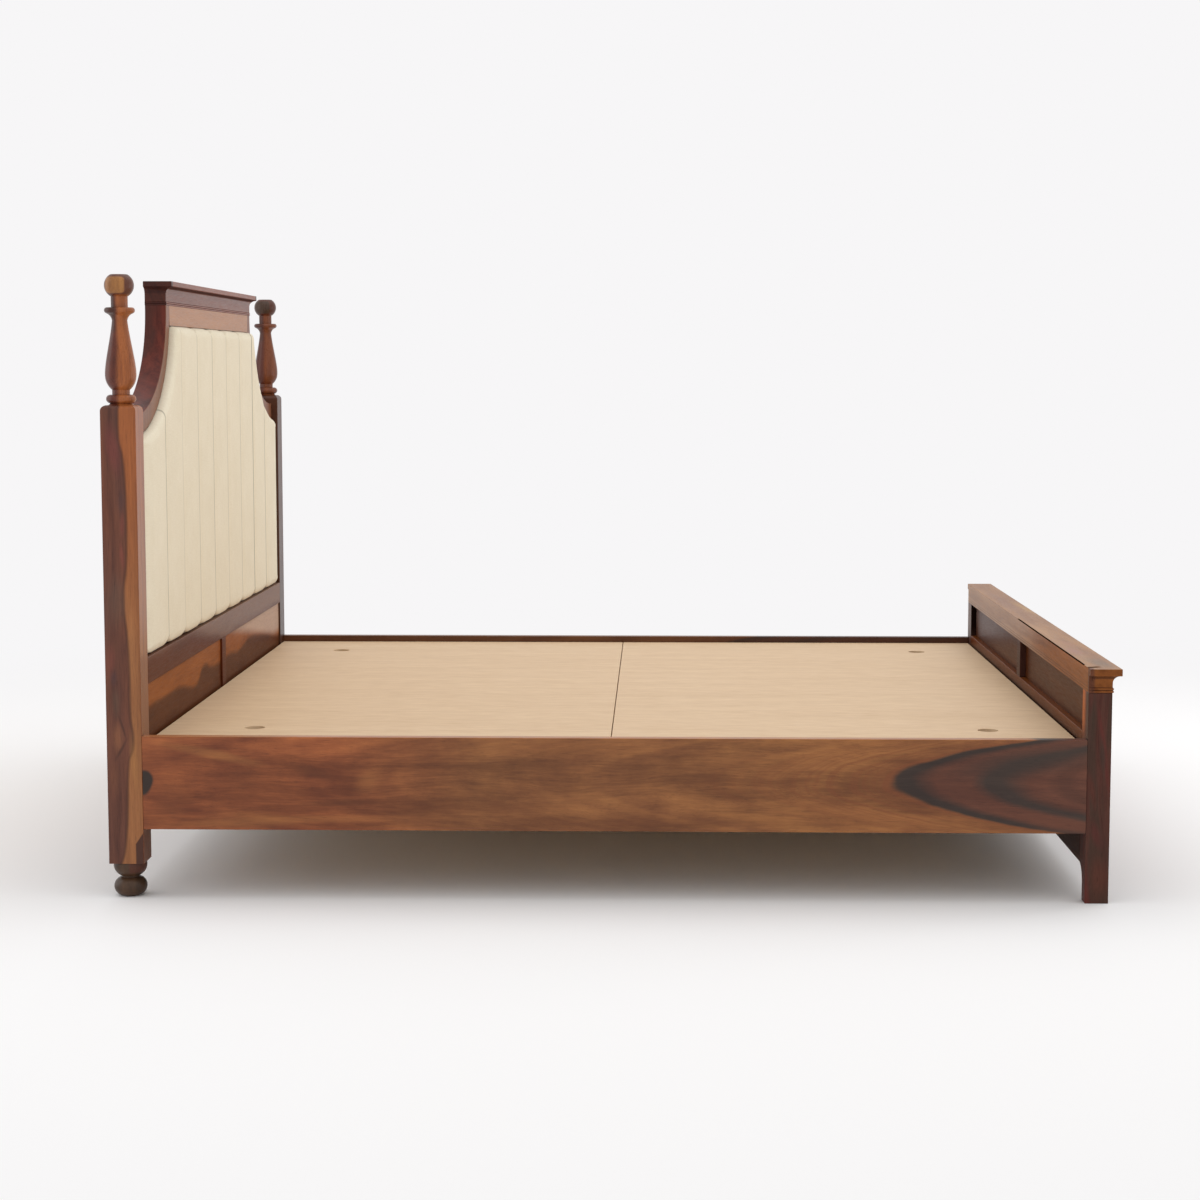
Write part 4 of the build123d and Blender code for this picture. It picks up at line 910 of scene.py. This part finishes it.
class PadForm:
    """Form of the headboard pad, between the posts and under the arcs of the wings.

    An arc is a quarter of an ellipse about a centre beside the post, with its reach along y and along z.
    """

    def __init__(self, settings):
        self.settings = settings
        self.half = PAD_HIGH[1] - settings.side_gap
        self.low, self.high = PAD_LOW[2], PAD_HIGH[2]
        self.seams = (np.arange(SEAM_COUNT) - (SEAM_COUNT - 1) / 2) * settings.seam_pitch
        self.stops = np.concatenate(([-self.half], self.seams, [self.half]))
        post_inner = -POST_HIGH[1]
        clearance = PAD_LOW[2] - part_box("headboard_middle_rail")[1][2]
        frieze_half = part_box("headboard_frieze_rail")[1][1]
        self.centre = (post_inner, WING_HIGH[2] - WING_ARC_DROP)
        self.reach = (post_inner - frieze_half + clearance, WING_ARC_RISE + clearance)

    def pinch(self, y, seams, width):
        """How far the nearest seam draws an edge in: the end pinch times exp(-(gap / width)^2)."""
        gap = np.abs(y[..., None] - seams).min(-1)
        return self.settings.end_pinch * np.exp(-(gap / width) ** 2)

    def inside(self, y, z):
        """Distance inside the outline: the least of the distances to bottom, sides, top and the two arcs.

        The distance to an arc is (g - 1) over the length of the gradient of g, with g the square of the
        point's place in units of the reach. Every seam draws in the bottom and a little of the arcs. The
        four middle seams draw in the top. Pairs of edges meet in round corners.
        """
        settings = self.settings
        pinch = self.pinch(y, self.seams, SEAM_BELL)
        across = np.abs(y)
        side = (self.half - across) * settings.edge_radius / settings.side_roll
        bottom = z - self.low - pinch
        top = self.high - z - TOP_PINCH * self.pinch(y, self.seams[2:-2], TOP_BELL)
        u = (across - self.centre[0]) / self.reach[0]
        w = (z - self.centre[1]) / self.reach[1]
        slope = 2 * np.sqrt((u / self.reach[0]) ** 2 + (w / self.reach[1]) ** 2)
        arc = (u ** 2 + w ** 2 - 1) / np.maximum(slope, 1e-6) - ARC_PINCH * pinch
        arc = np.where(z > self.centre[1], 1.0, arc)
        radius = settings.corner_radius

        def meet(first, second):
            both = np.hypot(np.maximum(radius - first, 0), np.maximum(radius - second, 0))
            return np.maximum(np.minimum(first, second), radius) - both

        return np.minimum(meet(bottom, side), meet(meet(arc, side), top))

    def columns(self):
        """Places across the pad: each channel from seam to seam in steps that are finer near its seams.

        In a channel of width w, step k of n lies at w times (0.15 k/n + 0.85 (1 - cos(pi k/n)) / 2).
        """
        part = np.arange(CHANNEL_STEPS) / CHANNEL_STEPS
        eased = 0.15 * part + 0.85 * (1 - np.cos(np.pi * part)) / 2
        return np.append((self.stops[:-1, None] + np.diff(self.stops)[:, None] * eased).ravel(), self.half)

    def grid(self):
        """Flat grid of upright columns, each with rows from the outline below to the outline above it.

        The ends of a column are found by halving: between a point inside and one outside, the half that
        holds the outline is kept. Row k of n lies at 0.55 k/n + 0.45 (1 - cos(pi k/n)) / 2 of the column.
        """
        columns = self.columns()
        ends = []
        for outer in (self.low, self.high):
            inside = np.full_like(columns, self.low + INNER_HEIGHT)
            outside = np.full_like(columns, outer)
            for _ in range(HALVINGS):
                middle = (inside + outside) / 2
                held = self.inside(columns, middle) > -1e-7
                inside, outside = np.where(held, middle, inside), np.where(held, outside, middle)
            ends.append(inside)
        part = np.linspace(0, 1, COLUMN_ROWS)
        eased = 0.55 * part + 0.45 * (1 - np.cos(np.pi * part)) / 2
        z = ends[0][:, None] + (ends[1] - ends[0])[:, None] * eased
        y = np.repeat(columns[:, None], COLUMN_ROWS, 1)
        return y, z, np.maximum(self.inside(y, z), 0)

    def front(self, y, edge):
        """Place of the cover's front along x: a full crown between seams, rolled over at the pad's edge.

        Crown = thickness less depth times (1 - (1 - s^4)^0.5), with s from 0 at a channel's crest to 1 at
        its seam. The roll takes the height down along a quarter circle within the edge radius.
        """
        settings = self.settings
        index = np.clip(np.searchsorted(self.stops, y, side="right") - 1, 0, SEAM_COUNT)
        low, high = self.stops[index], self.stops[index + 1]
        from_crest = (y - (low + high) / 2) / ((high - low) / 2)
        s = np.abs(2 * (y - low) / (high - low) - 1)
        s = np.where(index == 0, np.clip(from_crest, 0, 1), s)
        s = np.where(index == SEAM_COUNT, np.clip(-from_crest, 0, 1), s)
        crown = 1 - (1 - np.clip(s, 0, 1) ** 4) ** 0.5
        full = PAD_HIGH[0] - PAD_LOW[0] + settings.stuffing - settings.channel_depth * crown
        inward = np.clip(1 - edge / settings.edge_radius, 0, 1)
        return PAD_LOW[0] + (full - settings.edge_radius * (1 - np.sqrt(1 - inward ** 2)))


def closed_pad(x_back, y, z, x):
    """Closed mesh of the pad: its front grid, a flat back on the same grid, and a wall round them."""
    number = np.arange(y.size).reshape(y.shape)
    a, b = number[:-1, :-1].ravel(), number[1:, :-1].ravel()
    c, d = number[1:, 1:].ravel(), number[:-1, 1:].ravel()
    rim = np.concatenate([number[:, 0], number[-1, 1:], number[-2::-1, -1], number[0, -2:0:-1]])
    after = np.roll(rim, -1)
    faces = np.concatenate([
        np.stack([a, b, c, d], -1), np.stack([d, c, b, a], -1) + y.size,
        np.stack([rim, rim + y.size, after + y.size, after], -1)])
    points = [np.stack([depth, y, z], -1).reshape(-1, 3) for depth in (x, np.full_like(x, x_back))]
    mesh = bpy.data.meshes.new(PAD_NAME)
    mesh.from_pydata(np.concatenate(points).tolist(), [], faces.tolist())
    mesh.update()
    return mesh


def vertex_places(mesh):
    """Places of a mesh's vertices, one in each row."""
    places = np.empty(len(mesh.vertices) * 3)
    mesh.vertices.foreach_get("co", places)
    return places.reshape(-1, 3)


def stuff_pad(piece, fixed, pressure, limit):
    """Swells the free part of the cover by a cloth simulation, then holds each point within the limit."""
    scene = bpy.context.scene
    start = vertex_places(piece.data)
    group = piece.vertex_groups.new(name="fixed")
    group.add([int(vertex) for vertex in np.nonzero(fixed)[0]], 1.0, "REPLACE")
    cloth = piece.modifiers.new("stuffing", "CLOTH")
    cloth.settings.vertex_group_mass = "fixed"
    cloth.settings.use_pressure = True
    cloth.settings.uniform_pressure_force = pressure
    cloth.settings.effector_weights.gravity = 0.0
    cloth.settings.quality = CLOTH_QUALITY
    cloth.settings.bending_stiffness = CLOTH_BENDING
    cloth.collision_settings.use_collision = False
    cloth.point_cache.frame_start = 1
    cloth.point_cache.frame_end = SIMULATED_FRAMES
    for step in range(SIMULATED_FRAMES):
        scene.frame_set(step + 1)
    shaped = piece.evaluated_get(bpy.context.evaluated_depsgraph_get())
    shift = vertex_places(shaped.data) - start
    piece.modifiers.remove(cloth)
    piece.vertex_groups.remove(group)
    size = np.maximum(np.linalg.norm(shift, axis=1), 1e-9)
    shift *= np.minimum(1, limit / size)[:, None]
    piece.data.vertices.foreach_set("co", (start + shift).ravel())
    piece.data.update()
    scene.frame_set(1)


# Operators

class BedOperator:
    """Shared wiring of the bed's operators."""

    bl_options = {"REGISTER", "UNDO"}


class BED_OT_head_posts(BedOperator, bpy.types.Operator):
    """Dress the head posts"""

    bl_idname = "bed.head_posts"
    bl_label = "Head posts"

    def execute(self, context):
        dress(("head_post_left", "head_post_right"), post_timber(context.scene.bed_timber))
        return {"FINISHED"}


class BED_OT_finials(BedOperator, bpy.types.Operator):
    """Dress the finials"""

    bl_idname = "bed.finials"
    bl_label = "Finials"

    def execute(self, context):
        dress(("finial_left", "finial_right"), finial_timber(context.scene.bed_timber))
        return {"FINISHED"}


class BED_OT_ball_feet(BedOperator, bpy.types.Operator):
    """Dress the ball feet"""

    bl_idname = "bed.ball_feet"
    bl_label = "Ball feet"

    def execute(self, context):
        dress(("ball_foot_left", "ball_foot_right"), ball_foot_timber(context.scene.bed_timber))
        return {"FINISHED"}


class BED_OT_crown(BedOperator, bpy.types.Operator):
    """Dress the wings, the frieze rail and the crown moulding"""

    bl_idname = "bed.crown"
    bl_label = "Wings and crown"

    def execute(self, context):
        timber = context.scene.bed_timber
        dress(("headboard_wing_left", "headboard_wing_right"), wing_timber(timber))
        dress(("headboard_frieze_rail",), plain_wood(
            "frieze timber", timber.frieze, "y", (0.3, 1.5), 30.0, (0.5, 0.0, 0.0),
            timber.gloss, timber.reflectivity, 0.3))
        dress(("crown_beads", "crown_cove", "crown_cap"), crown_timber(timber))
        return {"FINISHED"}


class BED_OT_lower_headboard(BedOperator, bpy.types.Operator):
    """Dress the middle rail, the panels and the frame below them"""

    bl_idname = "bed.lower_headboard"
    bl_label = "Lower headboard"

    def execute(self, context):
        timber = context.scene.bed_timber
        dress(("headboard_middle_rail",), middle_rail_timber(timber))
        dress(("headboard_panel_left", "headboard_panel_right"), headboard_panel_timber(timber))
        dress(("headboard_stile", "headboard_bottom_rail"), plain_wood(
            "headboard frame timber", timber.middle_rail, "y", (0.2, 0.5), 50.0, (0.8, 0.0, 0.0),
            timber.gloss, timber.panel_reflectivity, 0.6))
        return {"FINISHED"}


class BED_OT_footboard(BedOperator, bpy.types.Operator):
    """Dress the foot posts and the footboard"""

    bl_idname = "bed.footboard"
    bl_label = "Footboard"

    def execute(self, context):
        timber = context.scene.bed_timber
        dress(("foot_post_left", "foot_post_right"), foot_post_timber(timber))
        dress(("footboard_panel_left", "footboard_panel_right"), footboard_panel_timber(timber))
        dress(("footboard_stile", "footboard_bottom_rail"), footboard_rail_timber(timber))
        dress(("footboard_top_rail", "footboard_beads", "footboard_cove", "footboard_cap"),
              footboard_cap_timber(timber))
        return {"FINISHED"}


class BED_OT_side_rails(BedOperator, bpy.types.Operator):
    """Dress the side rails"""

    bl_idname = "bed.side_rails"
    bl_label = "Side rails"

    def execute(self, context):
        dress(("side_rail_left", "side_rail_right"), rail_timber(context.scene.bed_timber))
        return {"FINISHED"}


class BED_OT_deck(BedOperator, bpy.types.Operator):
    """Dress the deck panels and the hidden timbers"""

    bl_idname = "bed.deck"
    bl_label = "Deck and hidden timber"

    def execute(self, context):
        deck = context.scene.bed_deck
        dress(("deck_panel_head", "deck_panel_foot"), plywood(
            "deck plywood", deck.ply_light, deck.ply_dark, "x"))
        plain = deck.plain_light
        dress(("pad_board",), plywood("backing plywood", plain, shade(plain, 0.7), "y"))
        kinds = ("ledger", "cross_bearer", "centre_", "pad_batten")
        hidden = [name for name in NODES if name.startswith(kinds)]
        dress(hidden, plywood("plain timber", plain, shade(plain, 0.66), "x", 1.4))
        return {"FINISHED"}


class BED_OT_hardware(BedOperator, bpy.types.Operator):
    """Dress brackets, hangers, fasteners and glides"""

    bl_idname = "bed.hardware"
    bl_label = "Hardware"

    def execute(self, context):
        deck = context.scene.bed_deck
        metal = [name for name in NODES if name.startswith(("rail_bracket", "beam_hanger", "bracket_"))]
        metal += [name for name in NODES if name.endswith("_screws") and name not in metal]
        dress(metal, plated_steel(deck))
        dress(("leg_glides",), moulded_plastic(deck))
        return {"FINISHED"}


class BED_OT_pad(BedOperator, bpy.types.Operator):
    """Make the channelled pad of the headboard"""

    bl_idname = "bed.pad"
    bl_label = "Headboard pad"

    def execute(self, context):
        settings = context.scene.bed_pad
        form = PadForm(settings)
        y, z, edge = form.grid()
        mesh = closed_pad(PAD_LOW[0], y, z, form.front(y, edge))
        piece = bpy.data.objects.new(PAD_NAME, mesh)
        context.scene.collection.objects.link(piece)
        flat = mesh.uv_layers.new(name="fabric")
        corner = np.empty(len(mesh.loops), dtype=np.int64)
        mesh.loops.foreach_get("vertex_index", corner)
        flat.data.foreach_set("uv", vertex_places(mesh)[corner][:, 1:].ravel())
        mesh.polygons.foreach_set("use_smooth", np.ones(len(mesh.polygons), dtype=bool))
        on_seam = np.arange(len(y)) % CHANNEL_STEPS == 0
        held = on_seam[:, None] | (edge < FIXED_EDGE)
        fixed = np.concatenate([held.ravel(), np.ones(y.size, dtype=bool)])
        stuff_pad(piece, fixed, settings.air_pressure, settings.swell_limit)
        mesh.materials.append(woven_cover(settings))
        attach(piece, "bed_frame")
        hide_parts("upholstered_pad")
        return {"FINISHED"}


FLOOR_REACH = 30.0
FLOOR_FADE = (2.2, 4.2)
# Name, size, place, and lean about the y axis in degrees
LAMPS = (
    ("top", (5.0, 4.0), (0.6, 0.3, 4.2), 0),
    ("foot", (2.4, 0.8), (3.6, 0.6, 0.6), 84),
    ("side", (4.0, 2.0), (-4.6, -0.8, 1.5), -82),
)


class BED_OT_stage(BedOperator, bpy.types.Operator):
    """Make the floor, the light and the camera"""

    bl_idname = "bed.stage"
    bl_label = "Stage"

    def execute(self, context):
        settings = context.scene.bed_stage
        scene = context.scene
        scene.view_settings.view_transform = "Standard"
        make_floor(settings)
        make_sky(settings)
        for name, size, place, lean in LAMPS:
            add_lamp(name + " lamp", getattr(settings, name + "_power"), size, place, lean)
        camera = bpy.data.cameras.new("camera")
        camera.lens = settings.lens
        camera.sensor_width = 36.0
        camera.clip_end = 200.0
        viewer = bpy.data.objects.new("camera", camera)
        viewer.location = settings.camera_place
        viewer.rotation_euler = (math.radians(90) - settings.camera_tip, 0.0, settings.camera_turn)
        scene.collection.objects.link(viewer)
        scene.camera = viewer
        return {"FINISHED"}


def add_lamp(name, power, size, place, lean):
    """Soft rectangular lamp that shines straight down, or leans by degrees about the y axis."""
    lamp = bpy.data.lights.new(name, "AREA")
    lamp.shape = "RECTANGLE"
    lamp.size, lamp.size_y = size
    lamp.energy = power
    holder = bpy.data.objects.new(name, lamp)
    holder.location = place
    holder.rotation_euler = (0.0, math.radians(lean), 0.0)
    bpy.context.scene.collection.objects.link(holder)


def make_floor(settings):
    """Wide floor that passes into the backdrop's colour far from the bed."""
    far = FLOOR_REACH
    corners = [(-far, -far, 0.0), (far, -far, 0.0), (far, far, 0.0), (-far, far, 0.0)]
    mesh = bpy.data.meshes.new("studio_floor")
    mesh.from_pydata(corners, [], [(0, 1, 2, 3)])
    floor = bpy.data.objects.new("studio_floor", mesh)
    bpy.context.scene.collection.objects.link(floor)
    material = bpy.data.materials.new("studio floor")
    tree = empty_tree(material)
    distance = value_of(tree, "ShaderNodeTexCoord", output="Object").vector("LENGTH", output="Value")
    fade = distance.ease(*FLOOR_FADE)
    paint = value_of(tree, "ShaderNodeBsdfDiffuse", {"Color": opaque(settings.floor)})
    glow = value_of(tree, "ShaderNodeEmission", {"Color": opaque(settings.backdrop), "Strength": 1.0})
    mixed = value_of(tree, "ShaderNodeMixShader", {0: fade, 1: paint, 2: glow})
    add_node(tree, "ShaderNodeOutputMaterial", {"Surface": mixed})
    mesh.materials.append(material)


def make_sky(settings):
    """Even light from all round; camera and reflections see the backdrop's colour."""
    world = bpy.data.worlds.new("studio")
    bpy.context.scene.world = world
    tree = empty_tree(world)
    rays = add_node(tree, "ShaderNodeLightPath").outputs
    camera, glossy, clear = (
        Value(tree, rays["Is %s Ray" % kind]) for kind in ("Camera", "Glossy", "Transmission"))
    light = value_of(
        tree, "ShaderNodeBackground", {"Color": (1.0, 1.0, 1.0, 1.0), "Strength": settings.sky_strength})
    back = value_of(tree, "ShaderNodeBackground", {"Color": opaque(settings.backdrop), "Strength": 1.0})
    mixed = value_of(tree, "ShaderNodeMixShader", {0: camera.most(glossy).most(clear), 1: light, 2: back})
    add_node(tree, "ShaderNodeOutputWorld", {"Surface": mixed})


OPERATORS = (
    BED_OT_head_posts, BED_OT_finials, BED_OT_ball_feet, BED_OT_crown, BED_OT_lower_headboard,
    BED_OT_footboard, BED_OT_side_rails, BED_OT_deck, BED_OT_hardware, BED_OT_pad, BED_OT_stage,
)
SETTINGS = {
    "bed_timber": BedTimberSettings, "bed_deck": BedDeckSettings, "bed_pad": BedPadSettings,
    "bed_stage": BedStageSettings,
}


class BED_PT_panel(bpy.types.Panel):
    """Buttons and settings of the bed."""

    bl_idname = "BED_PT_panel"
    bl_label = "Wooden bed"
    bl_space_type = "VIEW_3D"
    bl_region_type = "UI"
    bl_category = "Bed"

    def draw(self, context):
        for operator in OPERATORS:
            self.layout.operator(operator.bl_idname)
        for name, group in SETTINGS.items():
            box = self.layout.box()
            for setting in group.__annotations__:
                box.prop(getattr(context.scene, name), setting)


def register():
    for name, group in SETTINGS.items():
        bpy.utils.register_class(group)
        setattr(bpy.types.Scene, name, bpy.props.PointerProperty(type=group))
    for operator in OPERATORS:
        bpy.utils.register_class(operator)
    bpy.utils.register_class(BED_PT_panel)


def unregister():
    bpy.utils.unregister_class(BED_PT_panel)
    for operator in reversed(OPERATORS):
        bpy.utils.unregister_class(operator)
    for name, group in reversed(SETTINGS.items()):
        delattr(bpy.types.Scene, name)
        bpy.utils.unregister_class(group)


def main():
    """Registers the add-on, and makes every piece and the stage."""
    register()
    for operator in OPERATORS:
        section, name = operator.bl_idname.split(".")
        getattr(getattr(bpy.ops, section), name)()
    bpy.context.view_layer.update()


if __name__ == "__main__":
    main()
